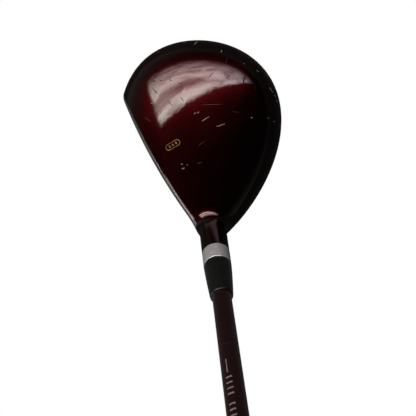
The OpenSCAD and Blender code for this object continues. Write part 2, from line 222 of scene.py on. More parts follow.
def dress(piece: bpy.types.Object, finish: bpy.types.Material) -> bpy.types.Object:
    """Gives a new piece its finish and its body.

    Args:
        piece: The finished piece.
        finish: Its material.

    Returns:
        The piece.
    """
    if not piece.data.materials:
        piece.data.materials.append(finish)
    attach(piece, BODY)
    log.info("%s: %d faces, %s", piece.name, len(piece.data.polygons), finish.name)
    return piece


def redress(node: str, finish: bpy.types.Material) -> None:
    """Gives every slot of a CAD node a better material.

    Args:
        node: Name of the CAD node.
        finish: The material.
    """
    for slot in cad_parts[node].material_slots:
        slot.material = finish
    log.info("%s keeps its shape, %s", node, finish.name)


# ---- The head's form, in millimetres from the face's middle on the ground ----


@dataclass(frozen=True)
class HeadForm:
    """The outer skin of the head: an egg-shaped body, cut by the face and blended into the neck."""

    length: float = 102.0
    depth: float = 73.5
    crown_h: float = 37.0
    plan_half: float = 46.5
    plan_sweep: float = 16.0
    plan_bow: float = 12.0
    plan_swell: float = 0.08
    plan_least: float = 0.2
    equator_h: float = 18.0
    equator_fall: float = 0.1
    crown_full: float = 2.2
    sole_full: float = 3.0
    sole_lift: float = 0.3
    loft: float = math.radians(17.0)
    face_r: float = 280.0
    face_h: float = 17.0
    face_edge: float = 1.5
    face_inset: float = 2.4
    face_half: float = 33.0
    face_toe: float = 3.0
    outline_blend: float = 8.0
    rest_back: float = 33.0
    lie: float = math.radians(57.0)
    axis_heel: float = 21.0
    axis_back: float = 14.5
    neck_r: float = 6.8
    neck_blend: float = 6.0
    neck_rise: float = 4.0
    neck_top: float = 58.0

    @property
    def plan_y(self) -> float:
        """Distance of the plan's middle behind the face's middle."""
        return self.depth - self.plan_half

    @property
    def foot(self) -> Grid:
        """Where the shaft's line meets the ground."""
        return np.array([self.axis_heel, self.axis_back, 0.0])

    @property
    def up_shaft(self) -> Grid:
        """Direction of the shaft's line."""
        return np.array([math.cos(self.lie), 0.0, math.sin(self.lie)])

    @property
    def face_mid(self) -> Grid:
        """Middle of the face."""
        return np.array([0.0, 0.0, self.face_h])

    @property
    def face_up(self) -> Grid:
        """Upward direction in the face."""
        return np.array([0.0, math.sin(self.loft), math.cos(self.loft)])

    @property
    def face_out(self) -> Grid:
        """Direction in which the face looks."""
        return np.array([0.0, -math.cos(self.loft), math.sin(self.loft)])

    @property
    def face_hub(self) -> Grid:
        """Middle of the sphere that gives the face its bulge and roll."""
        return self.face_mid - self.face_r * self.face_out

    @property
    def plan_hub(self) -> Grid:
        """Middle of the body at the height of its widest line."""
        return np.array([0.0, self.plan_y, self.equator_h])

    @property
    def neck_root(self) -> float:
        """Distance along the shaft's line at which the neck starts inside the body."""
        return self.equator_h + self.neck_rise

    @property
    def hub(self) -> Grid:
        """Point inside, on the shaft's line, from which the whole crown is seen."""
        return self.foot + self.equator_h * self.up_shaft

    def equator_z(self, y: Grid) -> Grid:
        """Height of the widest line."""
        return self.equator_h - self.equator_fall * (y - self.plan_y)

    def egg(self, p: Grid) -> Grid:
        """Below 0 inside the egg-shaped body, 0 on it and above 0 outside.

        Args:
            p: Points in millimetres.

        Returns:
            A number without a unit for each point.
        """
        u = 2 * p[..., 0] / self.length
        middle = self.plan_y - self.plan_sweep * u - self.plan_bow * u * u
        half = self.plan_half * np.maximum(self.plan_least, 1 + self.plan_swell * u)
        q = np.hypot(u, (p[..., 1] - middle) / half)
        e = self.equator_z(p[..., 1])
        over = p[..., 2] >= e
        h = np.where(over, (p[..., 2] - e) / (self.crown_h - e), (e - p[..., 2]) / (e - self.sole_lift))
        n = np.where(over, self.crown_full, self.sole_full)
        return (np.maximum(h, 0) ** n + q ** n) ** (1 / n) - 1

    def off_egg(self, p: Grid) -> Grid:
        """About the distance from the egg-shaped body.

        Args:
            p: Points in millimetres.

        Returns:
            Millimetres, below 0 inside.
        """
        f = self.egg(p)
        steps = [self.egg(p + step) - f for step in PROBE * np.eye(3)]
        slope = np.sqrt(sum(s * s for s in steps)) / PROBE
        return np.maximum(-self.equator_h, f / np.maximum(slope, 1e-6))

    def off_face(self, p: Grid) -> Grid:
        """Distance in front of the face."""
        return np.linalg.norm(p - self.face_hub, axis=-1) - self.face_r

    def along(self, p: Grid) -> Grid:
        """Distance along the shaft's line from the ground."""
        return (p - self.foot) @ self.up_shaft

    def from_axis(self, p: Grid) -> Grid:
        """The part of a point's place that is square to the shaft's line."""
        return p - self.foot - self.along(p)[..., None] * self.up_shaft

    def off_axis(self, p: Grid) -> Grid:
        """Distance from the shaft's line."""
        return np.linalg.norm(self.from_axis(p), axis=-1)

    def skin(self, p: Grid) -> Grid:
        """The whole outer skin, below 0 inside.

        Args:
            p: Points in millimetres.

        Returns:
            About the distance from the skin in millimetres.
        """
        body = soft_max(self.off_egg(p), self.off_face(p), self.face_edge)
        neck = np.maximum(self.off_axis(p) - self.neck_r, self.neck_root - self.along(p))
        return soft_min(body, neck, self.neck_blend)

    def skin_out(self, p: Grid) -> Grid:
        """Outward direction of the skin."""
        f = self.skin(p)
        return unit(np.stack([self.skin(p + step) - f for step in PROBE * np.eye(3)], axis=-1))

    def hit(self, start: Grid, way: Grid) -> Grid:
        """The skin's points seen from inside, along some directions.

        Args:
            start: A point inside.
            way: Directions from it, of any length.

        Returns:
            A point for each direction.
        """
        w = unit(way)
        inside, outside = 0.5, self.length + 10
        r = root(lambda r: self.skin(start + r[..., None] * w), inside, outside, w.shape[:-1])
        return start + r[..., None] * w

    def on_face(self, angle: Grid, r: Grid) -> Grid:
        """Points of the face at angles and distances from its middle.

        Args:
            angle: Angles in the face, where 0 points to the heel.
            r: Distances in millimetres.

        Returns:
            The points.
        """
        sink = self.face_r - np.sqrt(self.face_r**2 - r * r)
        side = (r * np.cos(angle))[..., None] * np.array([1.0, 0.0, 0.0])
        rise = (r * np.sin(angle))[..., None] * self.face_up
        return self.face_mid + side + rise - sink[..., None] * self.face_out

    def outline_r(self, angle: Grid) -> Grid:
        """Distance of the face plate's outline from the face's middle.

        Args:
            angle: Angles in the face, where 0 points to the heel.

        Returns:
            A distance for each angle.
        """

        def gap(r: Grid) -> Grid:
            """Below 0 inside the outline."""
            p = self.on_face(angle, r)
            ends = np.abs(p[..., 0] + self.face_toe) - self.face_half
            return soft_max(self.off_egg(p) + self.face_inset, ends, self.outline_blend)

        inside, outside = 1.0, self.length / 2 + 12
        return root(gap, inside, outside, angle.shape)

    def rim(self, side: int, n_face: int, n_back: int) -> Grid:
        """The rim that crown, sole and face plate share.

        Args:
            side: 1 for the crown's half of the face and -1 for the sole's half.
            n_face: Steps along half of the face plate's outline.
            n_back: Steps round the rest.

        Returns:
            Points from the heel over the face to the toe, and round the back.
        """
        angles = side * math.pi * np.arange(n_face + 1) / n_face
        front = self.on_face(angles, self.outline_r(angles))
        toe, heel = front[-1] - self.plan_hub, front[0] - self.plan_hub
        start = math.atan2(toe[1], toe[0])
        end = math.atan2(heel[1], heel[0]) - 2 * math.pi
        a = mix(start, end, np.arange(1, n_back) / n_back)
        way = np.stack([np.cos(a), np.sin(a), -self.equator_fall * np.sin(a)], axis=-1)
        return np.concatenate([front, self.hit(self.plan_hub, way)])

    def on_crown(self, x: Grid, y: Grid) -> Grid:
        """Points of the crown above places of the plan.

        Args:
            x: Places from the toe to the heel.
            y: Places behind the face's middle.

        Returns:
            The points.
        """
        x, y = np.broadcast_arrays(np.asarray(x, float), np.asarray(y, float))
        inside, outside = self.equator_h, self.crown_h + 6
        z = root(lambda z: self.skin(np.stack([x, y, z], axis=-1)), inside, outside, x.shape)
        return np.stack([x, y, z], axis=-1)

    def placed(self, p: Grid) -> Grid:
        """The same points in metres in the row frame."""
        return (p - np.array([0.0, self.rest_back, 0.0])) * MM


def soft_min(a: Grid, b: Grid, k: float) -> Grid:
    """The smaller of two values, rounded over a width k."""
    h = np.clip(0.5 + 0.5 * (b - a) / k, 0, 1)
    return b + (a - b) * h - k * h * (1 - h)


def soft_max(a: Grid, b: Grid, k: float) -> Grid:
    """The larger of two values, rounded over a width k."""
    return -soft_min(-a, -b, k)


# ---- Turned pieces ----


def arc(
    radius: float, place: float, round_r: float, start: float, end: float, steps: int = 8
) -> list[tuple[float, float]]:
    """Points of a rounded corner in a turned profile.

    Args:
        radius: Radius of the corner's middle from the axis.
        place: Place of the corner's middle along the axis.
        round_r: Radius of the round.
        start: First angle in degrees, where 0 looks away from the axis.
        end: Last angle in degrees.
        steps: Number of steps.

    Returns:
        Radius and place of each point.
    """
    angles = [math.radians(mix(start, end, i / steps)) for i in range(steps + 1)]
    return [(radius + round_r * math.cos(a), place + round_r * math.sin(a)) for a in angles]


@dataclass(frozen=True)
class Axis:
    """A line that pieces are turned round, in the row frame. Its places are millimetres from the foot."""

    foot: tuple[float, float, float] = (0.0, 0.0, 0.0)
    up: tuple[float, float, float] = (0.0, 0.0, 1.0)

    @property
    def matrix(self) -> Matrix:
        """Turns and moves a piece that was made round the z axis. Its x axis looks up from the line.

        Returns:
            The matrix from the piece's own frame to the row frame.
        """
        up = Vector(self.up)
        over = Vector((-up.z, 0.0, up.x))
        return Matrix.Translation(self.foot) @ Matrix((over, up.cross(over), up)).transposed().to_4x4()

    def turned(
        self, name: str, profile: Sequence[tuple[float, float]], turns: int = 128, sharp: float = 35.0
    ) -> bpy.types.Object:
        """Turns a profile round the line.

        Args:
            name: Name of the piece.
            profile: Radius and place of each point in millimetres, as a closed outline, or as an open
                one whose first and last radius are 0.
            turns: Steps of a full turn.
            sharp: Angle in degrees above which an edge stays sharp.

        Returns:
            The piece.
        """
        solid = profile[0][0] == 0
        rings = np.array(profile[1:-1] if solid else profile)
        a = 2 * math.pi * np.arange(turns) / turns
        circle = np.stack([np.cos(a), np.sin(a), np.zeros(turns)], axis=-1)
        points = rings[:, None, :1] * circle + rings[:, None, 1:] * np.array([0.0, 0.0, 1.0])
        points = points.reshape(-1, 3)
        faces = band_faces(len(rings), turns, not solid)
        if solid:
            n, last = len(points), len(points) - turns
            points = np.concatenate([points, [[0, 0, profile[0][1]], [0, 0, profile[-1][1]]]])
            for i in range(turns):
                j = (i + 1) % turns
                faces += [(j, i, n), (last + i, last + j, n + 1)]
        turn = np.array(self.matrix)
        return mesh_object(name, points * MM @ turn[:3, :3].T + turn[:3, 3], faces, sharp)


# ---- Geometry trees ----


def new_tree(name: str, inputs: dict[str, str]) -> tuple[bpy.types.NodeTree, bpy.types.Node]:
    """Starts a geometry tree.

    Args:
        name: Name of the tree.
        inputs: Kind of each input after the geometry, by name.

    Returns:
        The tree and its input node.
    """
    tree = bpy.data.node_groups.new(name, "GeometryNodeTree")
    tree.interface.new_socket("Geometry", in_out="OUTPUT", socket_type="NodeSocketGeometry")
    for label, kind in {"Geometry": "Geometry", **inputs, "Finish": "Material"}.items():
        tree.interface.new_socket(label, in_out="INPUT", socket_type="NodeSocket" + kind)
    return tree, tree.nodes.new("NodeGroupInput")


def end_tree(tree: bpy.types.NodeTree, given: bpy.types.Node, geometry: bpy.types.Node) -> None:
    """Ends a tree: real meshes in place of instances, the finish, and the output.

    Args:
        tree: The geometry tree.
        given: Its input node.
        geometry: The node that gives the finished geometry.
    """
    real = add(tree, "RealizeInstances", {0: geometry})
    dressed = add(tree, "SetMaterial", {"Geometry": real, "Material": given.outputs["Finish"]})
    add(tree, "GroupOutput", {0: dressed})


def grown(
    name: str, tree: bpy.types.NodeTree, inputs: dict[str, Any], place: Matrix,
    start: bpy.types.Mesh | None = None
) -> bpy.types.Object:
    """Runs a geometry tree and keeps the result as a plain mesh.

    Args:
        name: Name of the new piece.
        tree: The geometry tree.
        inputs: Values of the tree's inputs, by name.
        place: Where the result goes in the row frame.
        start: The mesh that the tree works on, if it needs one.

    Returns:
        The new piece, at the origin, with no modifier.
    """
    holder = bpy.data.objects.new(name, start or bpy.data.meshes.new(name))
    bpy.context.scene.collection.objects.link(holder)
    modifier = holder.modifiers.new("grow", "NODES")
    modifier.node_group = tree
    for item in tree.interface.items_tree:
        if item.in_out == "INPUT" and item.name in inputs:
            modifier[item.identifier] = inputs[item.name]
    settle(holder)
    holder.data.name = name
    holder.data.transform(place)
    return holder


def settle(piece: bpy.types.Object) -> None:
    """Turns a piece with modifiers into the plain mesh that they make.

    Args:
        piece: The piece, whose modifiers are removed.
    """
    bpy.context.view_layer.update()
    evaluated = piece.evaluated_get(bpy.context.evaluated_depsgraph_get())
    mesh = bpy.data.meshes.new_from_object(evaluated)
    piece.modifiers.clear()
    piece.data = mesh


def score_lines() -> bpy.types.NodeTree:
    """Straight bars, side by side along y, that lie in a sphere whose top is the origin.

    Returns:
        The tree.
    """
    sizes = ("Pitch", "Length", "Width", "Depth", "Sphere")
    tree, given = new_tree("score_lines", {"Count": "Int", **{s: "Float" for s in sizes}})
    count, pitch, length, width, depth, sphere = (given.outputs[s] for s in ("Count", *sizes))
    step = add(tree, "CombineXYZ", {1: pitch})
    line = add(tree, "MeshLine", {"Count": count, "Offset": step})
    size = add(tree, "CombineXYZ", {0: length, 1: width, 2: depth})
    bar = add(tree, "MeshCube", {"Size": size, "Vertices X": 40})
    bars = add(tree, "InstanceOnPoints", {"Points": line, "Instance": bar})
    real = add(tree, "RealizeInstances", {0: bars})
    less = add(tree, "Math", {0: count, 1: 1.0}, operation="SUBTRACT")
    back = add(tree, "Math", {0: less, 1: -0.5}, operation="MULTIPLY")
    middle = add(tree, "VectorMath", {0: step, "Scale": back}, operation="SCALE")
    spread = add(tree, "SetPosition", {"Geometry": real, "Offset": middle})
    place = add(tree, "InputPosition")
    flat = add(tree, "VectorMath", {0: place, 1: (1, 1, 0)}, operation="MULTIPLY")
    square = add(tree, "VectorMath", {0: flat, 1: flat}, operation="DOT_PRODUCT")
    drop = add(tree, "Math", {0: square, 1: sphere}, operation="DIVIDE")
    half = add(tree, "Math", {0: drop, 1: -0.5}, operation="MULTIPLY")
    sunk = add(tree, "CombineXYZ", {2: half})
    end_tree(tree, given, add(tree, "SetPosition", {"Geometry": spread, "Offset": sunk}))
    return tree


def printed_bars() -> bpy.types.NodeTree:
    """Thin bars laid round a tapered tube on the z axis, in groups with a gap between them.

    Returns:
        The tree.
    """
    sizes = ("Start", "Pitch", "Gap", "Along", "Round", "Height", "Radius", "Taper", "Angle")
    tree, given = new_tree("printed_bars", {"Count": "Int", "Group": "Int", **{s: "Float" for s in sizes}})
    start, pitch, gap, along, around, height, radius, taper, angle = (given.outputs[s] for s in sizes)
    line = add(tree, "MeshLine", {"Count": given.outputs["Count"], "Offset": (0, 0, 0)})
    index = add(tree, "InputIndex")
    ratio = add(tree, "Math", {0: index, 1: given.outputs["Group"]}, operation="DIVIDE")
    groups = add(tree, "Math", {0: ratio}, operation="FLOOR")
    first = add(tree, "Math", {0: groups, 1: gap, 2: start}, operation="MULTIPLY_ADD")
    place = add(tree, "Math", {0: index, 1: pitch, 2: first}, operation="MULTIPLY_ADD")
    row = add(tree, "SetPosition", {0: line, "Position": add(tree, "CombineXYZ", {0: place})})
    size = add(tree, "CombineXYZ", {0: along, 1: around, 2: height})
    bar = add(tree, "MeshCube", {"Size": size, "Vertices Y": 9})
    bars = add(tree, "InstanceOnPoints", {"Points": row, "Instance": bar})
    real = add(tree, "RealizeInstances", {0: bars})
    x, y, z = add(tree, "SeparateXYZ", {0: add(tree, "InputPosition")}).outputs
    reach = add(tree, "Math", {0: x, 1: taper, 2: radius}, operation="MULTIPLY_ADD")
    arc_a = add(tree, "Math", {0: y, 1: reach}, operation="DIVIDE")
    turn = add(tree, "Math", {0: arc_a, 1: angle}, operation="ADD")
    out = add(tree, "Math", {0: reach, 1: z}, operation="ADD")
    cosine, sine = (add(tree, "Math", {0: turn}, operation=op) for op in ("COSINE", "SINE"))
    across, up = (add(tree, "Math", {0: out, 1: t}, operation="MULTIPLY") for t in (cosine, sine))
    bent = add(tree, "CombineXYZ", {0: across, 1: up, 2: x})
    end_tree(tree, given, add(tree, "SetPosition", {0: real, "Position": bent}))
    return tree


def studs() -> bpy.types.NodeTree:
    """Raised lozenges in staggered rows round a tapered sleeve on the z axis.

    Returns:
        The tree.
    """
    sizes = ("Start", "Pitch", "Radius", "Taper", "Length", "Width", "Height")
    tree, given = new_tree("grip_studs", {"Rows": "Int", "Columns": "Int", **{s: "Float" for s in sizes}})
    rows, columns = given.outputs["Rows"], given.outputs["Columns"]
    start, pitch, radius, taper, length, width, height = (given.outputs[s] for s in sizes)
    count = add(tree, "Math", {0: rows, 1: columns}, operation="MULTIPLY")
    line = add(tree, "MeshLine", {"Count": count, "Offset": (0, 0, 0)})
    index = add(tree, "InputIndex")
    ratio = add(tree, "Math", {0: index, 1: columns}, operation="DIVIDE")
    row = add(tree, "Math", {0: ratio}, operation="FLOOR")
    share = add(tree, "Math", {0: row, 1: 0.5}, operation="MULTIPLY")
    offset = add(tree, "Math", {0: share, 1: columns}, operation="DIVIDE")
    turns = add(tree, "Math", {0: ratio, 1: offset}, operation="ADD")
    angle = add(tree, "Math", {0: turns, 1: 2 * math.pi}, operation="MULTIPLY")
    place = add(tree, "Math", {0: row, 1: pitch, 2: start}, operation="MULTIPLY_ADD")
    reach = add(tree, "Math", {0: place, 1: taper, 2: radius}, operation="MULTIPLY_ADD")
    cosine, sine = (add(tree, "Math", {0: angle}, operation=op) for op in ("COSINE", "SINE"))
    x, y = (add(tree, "Math", {0: reach, 1: t}, operation="MULTIPLY") for t in (cosine, sine))
    where = add(tree, "CombineXYZ", {0: x, 1: y, 2: place})
    points = add(tree, "SetPosition", {0: line, "Position": where})
    euler = add(tree, "CombineXYZ", {1: math.pi / 2, 2: angle})
    turn = add(tree, "EulerToRotation", {0: euler})
    stud = add(tree, "MeshCone", {"Vertices": 4, "Radius Top": 0.55, "Radius Bottom": 1.0, "Depth": 2.0})
    middle = add(tree, "Transform", {0: stud.outputs["Mesh"], "Translation": (0, 0, -1.0)})
    size = add(tree, "CombineXYZ", {0: length, 1: width, 2: height})
    many = add(tree, "InstanceOnPoints",
               {"Points": points, "Instance": middle, "Rotation": turn, "Scale": size})
    end_tree(tree, given, many)
    return tree


def rim_chips() -> bpy.types.NodeTree:
    """Flat ragged chips scattered over a mesh where its "chip" value is above 0.

    Returns:
        The tree.
    """
    inputs = {"Density": "Float", "Least": "Vector", "Most": "Vector", "Seed": "Int"}
    tree, given = new_tree("rim_chips", inputs)
    wear = add(tree, "InputNamedAttribute", {"Name": "chip"}, data_type="FLOAT")
    density = add(tree, "Math", {0: wear, 1: given.outputs["Density"]}, operation="MULTIPLY")
    values = {"Mesh": given.outputs["Geometry"], "Density": density, "Seed": given.outputs["Seed"]}
    points = add(tree, "DistributePointsOnFaces", values)
    chip = add(tree, "MeshCone", {"Vertices": 7, "Radius Top": 0.6, "Radius Bottom": 1.0, "Depth": 1.0})
    turn = add(tree, "RandomValue", {"Max": 2 * math.pi, "Seed": given.outputs["Seed"]},
               data_type="FLOAT")
    spin = add(tree, "EulerToRotation", {0: add(tree, "CombineXYZ", {2: turn})})
    way = add(tree, "RotateRotation", {0: points.outputs["Rotation"], 1: spin}, rotation_space="LOCAL")
    size = add(tree, "RandomValue",
               {0: given.outputs["Least"], 1: given.outputs["Most"], "Seed": given.outputs["Seed"]},
               data_type="FLOAT_VECTOR")
    many = add(tree, "InstanceOnPoints",
               {"Points": points, "Instance": chip.outputs["Mesh"], "Rotation": way, "Scale": size})
    end_tree(tree, given, many)
    return tree


# ---- Finishes ----


class Working(Enum):
    """How a metal surface was worked, which sets the way its fine lines run."""

    BELT = "along x"
    FACED = "round the z axis"
    TURNED = "round the shaft"


@dataclass(frozen=True)
class Finish:
    """What every finish shares: a name, and a material with one Principled shader.

    Sizes of patterns are millimetres, and a range is the low and the high value that a pattern gives.
    """

    name: str

    def start(self) -> tuple[bpy.types.Material, bpy.types.NodeTree, bpy.types.Node, bpy.types.Node]:
        """Makes the material.

        Returns:
            The material, its tree, its shader and the place on the object in millimetres.
        """
        material = bpy.data.materials.new(self.name)
        material.use_nodes = True
        tree = material.node_tree
        place = add(tree, "TexCoord").outputs["Object"]
        scaled = add(tree, "VectorMath", {0: place, "Scale": 1 / MM}, operation="SCALE")
        return material, tree, tree.nodes["Principled BSDF"], scaled


@dataclass(frozen=True)
class CandyPaint(Finish):
    """Burgundy candy paint under a clear lacquer, on bare brushed steel.

    The lacquer mirrors the room sharply, with a faint waviness, over a base that is nearly black
    where little light falls. The steel shows where the piece's "bare" value is above 0.
    """

    base: str = "#310406"
    deep: str = "#220204"
    steel: str = "#b4b5b1"
    worn: str = "#8b8c89"
    base_rough: float = 0.31
    steel_rough: tuple[float, float] = (0.34, 0.5)
    lacquer_rough: float = 0.05
    cloud: float = 20.0
    tear: float = 1.11
    tear_reach: float = 0.12
    belt_line: tuple[float, float, float] = (5.2, 0.25, 0.125)
    belt_depth: float = 0.03
    peel: float = 2.5
    ripple: float = 10.0
    peel_depth: float = 0.08

    def material(self) -> bpy.types.Material:
        """Makes the paint.

        Returns:
            The material.
        """
        material, tree, shader, place = self.start()
        bare = add(tree, "Attribute", attribute_name="bare").outputs["Fac"]
        tear = add(tree, "TexNoise", {"Vector": place, "Scale": 1 / self.tear, "Detail": 3.0})
        ragged = add(tree, "MapRange", {0: tear, **COMMON, 3: -self.tear_reach, 4: self.tear_reach})
        edge = add(tree, "Math", {0: bare, 1: ragged}, operation="ADD")
        steel = add(tree, "MapRange", {0: edge, 1: -self.tear_reach / 3, 2: self.tear_reach / 3})

        values = {"Vector": place, "Scale": 1 / self.cloud, "Detail": 4.0, "Distortion": 0.5}
        cloud = add(tree, "TexNoise", values)
        depth = add(tree, "MapRange", {0: cloud, **MIDDLE})
        paint = add(tree, "Mix", {0: depth, 6: linear(self.base), 7: linear(self.deep)}, data_type="RGBA")
        along = add(tree, "VectorMath", {0: place, 1: self.belt_line}, operation="DIVIDE")
        grain = add(tree, "TexNoise", {"Vector": along, "Scale": 1.0, "Detail": 3.0})
        metal = add(tree, "Mix", {0: grain, 6: linear(self.steel), 7: linear(self.worn)}, data_type="RGBA")
        colour = add(tree, "Mix", {0: steel, 6: paint, 7: metal}, data_type="RGBA")
        low, high = self.steel_rough
        brushed = add(tree, "MapRange", {0: grain, **COMMON, 3: low, 4: high})
        rough = add(tree, "Mix", {0: steel, 2: self.base_rough, 3: brushed}, data_type="FLOAT")
        coat = add(tree, "MapRange", {0: steel, 3: 1.0, 4: 0.0})
        lines = add(tree, "Math", {0: grain, 1: steel}, operation="MULTIPLY")
        normal = add(tree, "Bump", {"Height": lines, "Distance": self.belt_depth * MM})

        peel = add(tree, "TexNoise", {"Vector": place, "Scale": 1 / self.peel, "Detail": 3.0})
        values = {"Vector": place, "Scale": 1 / self.ripple, "Detail": 3.0, "Distortion": 0.6}
        swell = add(tree, "Mix", {0: 0.8, 2: peel, 3: add(tree, "TexNoise", values)}, data_type="FLOAT")
        wavy = add(tree, "Bump", {"Height": swell, "Distance": self.peel_depth * MM})
        join(tree, shader, {
            "Base Color": colour, "Metallic": 1.0, "Roughness": rough, "Specular IOR Level": 0.05,
            "Normal": normal, "Coat Weight": coat, "Coat Roughness": self.lacquer_rough,
            "Coat IOR": 1.5, "Coat Normal": wavy})
        return material


@dataclass(frozen=True)
class WorkedSteel(Finish):
    """Stainless steel with the fine lines of a belt or a lathe tool, which stretch highlights."""

    light: str = "#b5b6b2"
    dark: str = "#8c8d8a"
    grime: str = "#5f5c56"
    grime_most: float = 0.35
    rough: float = 0.35
    working: Working = Working.BELT
    line: float = 0.25
    line_stretch: float = 20.0
    line_depth: float = 0.02
    smear: float = 8.3
    metal: float = 1.0

    def material(self) -> bpy.types.Material:
        """Makes the steel.

        Returns:
            The material.
        """
        material, tree, shader, place = self.start()
        values: dict[str, Any] = {"Scale": 1 / self.line, "Detail": 3.0}
        if self.working is Working.BELT:
            stretch = (1 / self.line_stretch, 1.0, 1.0)
            along = add(tree, "VectorMath", {0: place, 1: stretch}, operation="MULTIPLY")
            lines = add(tree, "TexNoise", {"Vector": along, **values})
        elif self.working is Working.FACED:
            flat = add(tree, "VectorMath", {0: place, 1: (1.0, 1.0, 0.0)}, operation="MULTIPLY")
            radius = add(tree, "VectorMath", {0: flat}, operation="LENGTH")
            lines = add(tree, "TexNoise", {"W": radius, **values}, noise_dimensions="1D")
        else:
            height = add(tree, "VectorMath", {0: place, 1: SHAFT_UP}, operation="DOT_PRODUCT")
            lines = add(tree, "TexNoise", {"W": height, **values}, noise_dimensions="1D")
        share = add(tree, "MapRange", {0: lines, **COMMON})
        clean = add(tree, "Mix", {0: share, 6: linear(self.dark), 7: linear(self.light)}, data_type="RGBA")
        smear = add(tree, "TexNoise", {"Vector": place, "Scale": 1 / self.smear, "Detail": 4.0})
        dirt = add(tree, "MapRange", {0: smear, 1: 0.45, 2: 0.75, 4: self.grime_most})
        colour = add(tree, "Mix", {0: dirt, 6: clean, 7: linear(self.grime)}, data_type="RGBA")
        low, high = self.rough - 0.06, self.rough + 0.1
        rough = add(tree, "MapRange", {0: smear, **COMMON, 3: low, 4: high})
        normal = add(tree, "Bump", {"Height": lines, "Distance": self.line_depth * MM})
        join(tree, shader, {
            "Base Color": colour, "Metallic": self.metal, "Roughness": rough, "Normal": normal})
        return material


@dataclass(frozen=True)
class ShaftLacquer(Finish):
    """Dark burgundy lacquer on a graphite tube: a glossy skin over faint wound fibres.

    Its thin sheen is the haze of fine scuffs and dust, which greys the sides of the tube.
    """

    base: str = "#1a0506"
    fibre: str = "#120304"
    rough: tuple[float, float] = (0.3, 0.42)
    winding: float = 0.83
    winding_slant: tuple[float, float, float] = (1.0, 1.0, 0.3)
    ripple: float = 2.0
    ripple_depth: float = 0.03
    haze: float = 0.15

    def material(self) -> bpy.types.Material:
        """Makes the lacquer.

        Returns:
            The material.
        """
        material, tree, shader, place = self.start()
        slant = add(tree, "VectorMath", {0: place, 1: self.winding_slant}, operation="MULTIPLY")
        wound = add(tree, "TexNoise", {"Vector": slant, "Scale": 1 / self.winding, "Detail": 3.0})
        share = add(tree, "MapRange", {0: wound, 1: 0.4, 2: 0.6})
        colour = add(tree, "Mix", {0: share, 6: linear(self.base), 7: linear(self.fibre)}, data_type="RGBA")
        low, high = self.rough
        rough = add(tree, "MapRange", {0: wound, **COMMON, 3: low, 4: high})
        ripple = add(tree, "TexNoise", {"Vector": place, "Scale": 1 / self.ripple, "Detail": 2.0})
        wavy = add(tree, "Bump", {"Height": ripple, "Distance": self.ripple_depth * MM})
        join(tree, shader, {
            "Base Color": colour, "Roughness": rough, "Specular IOR Level": 0.0, "Coat Weight": 1.0,
            "Coat Roughness": 0.06, "Coat Normal": wavy, "Sheen Weight": self.haze, "Sheen Roughness": 0.4})
        return material


@dataclass(frozen=True)
class Moulded(Finish):
    """A moulded or cast stuff whose colour, gloss and fine texture vary a little over it."""

    light: str
    dark: str
    rough: float
    metal: float = 0.0
    patch: float = 12.5
    grain: float = 0.5
    depth: float = 0.03
    gloss: float = 0.5
    haze: float = 0.0

    def material(self) -> bpy.types.Material:
        """Makes the stuff.

        Returns:
            The material.
        """
        material, tree, shader, place = self.start()
        patch = add(tree, "TexNoise", {"Vector": place, "Scale": 1 / self.patch, "Detail": 4.0})
        speck = add(tree, "TexNoise", {"Vector": place, "Scale": 1 / self.grain, "Detail": 3.0})
        both = add(tree, "Math", {0: patch, 1: speck}, operation="MULTIPLY")
        share = add(tree, "MapRange", {0: both, 1: 0.12, 2: 0.4})
        colour = add(tree, "Mix", {0: share, 6: linear(self.dark), 7: linear(self.light)}, data_type="RGBA")
        low, high = self.rough - 0.06, self.rough + 0.08
        rough = add(tree, "MapRange", {0: patch, **COMMON, 3: low, 4: high})
        normal = add(tree, "Bump", {"Height": speck, "Distance": self.depth * MM})
        join(tree, shader, {
            "Base Color": colour, "Metallic": self.metal, "Roughness": rough, "Normal": normal,
            "Specular IOR Level": self.gloss, "Sheen Weight": self.haze, "Sheen Roughness": 0.4})
        return material


# ---- Wear and marks on the crown ----


@dataclass(frozen=True)
class Scratch:
    """One scratch: where its middle lies in the head's plan, its heading in degrees, length and width."""

    x: float
    y: float
    heading: float
    length: float
    width: float = 0.4
    tip: float = 0.08
    steps: int = 9

    def path(self) -> tuple[Grid, Grid]:
        """Places along the scratch and its width at each, which comes to a point at both ends.

        Returns:
            Places in the head's plan, and a width for each.
        """
        t = np.linspace(-1, 1, self.steps)
        a = math.radians(self.heading)
        reach = t[:, None] * self.length / 2 * np.array([math.cos(a), math.sin(a)])
        return np.array([self.x, self.y]) + reach, self.width * mix(self.tip, 1, np.sqrt(1 - t * t))


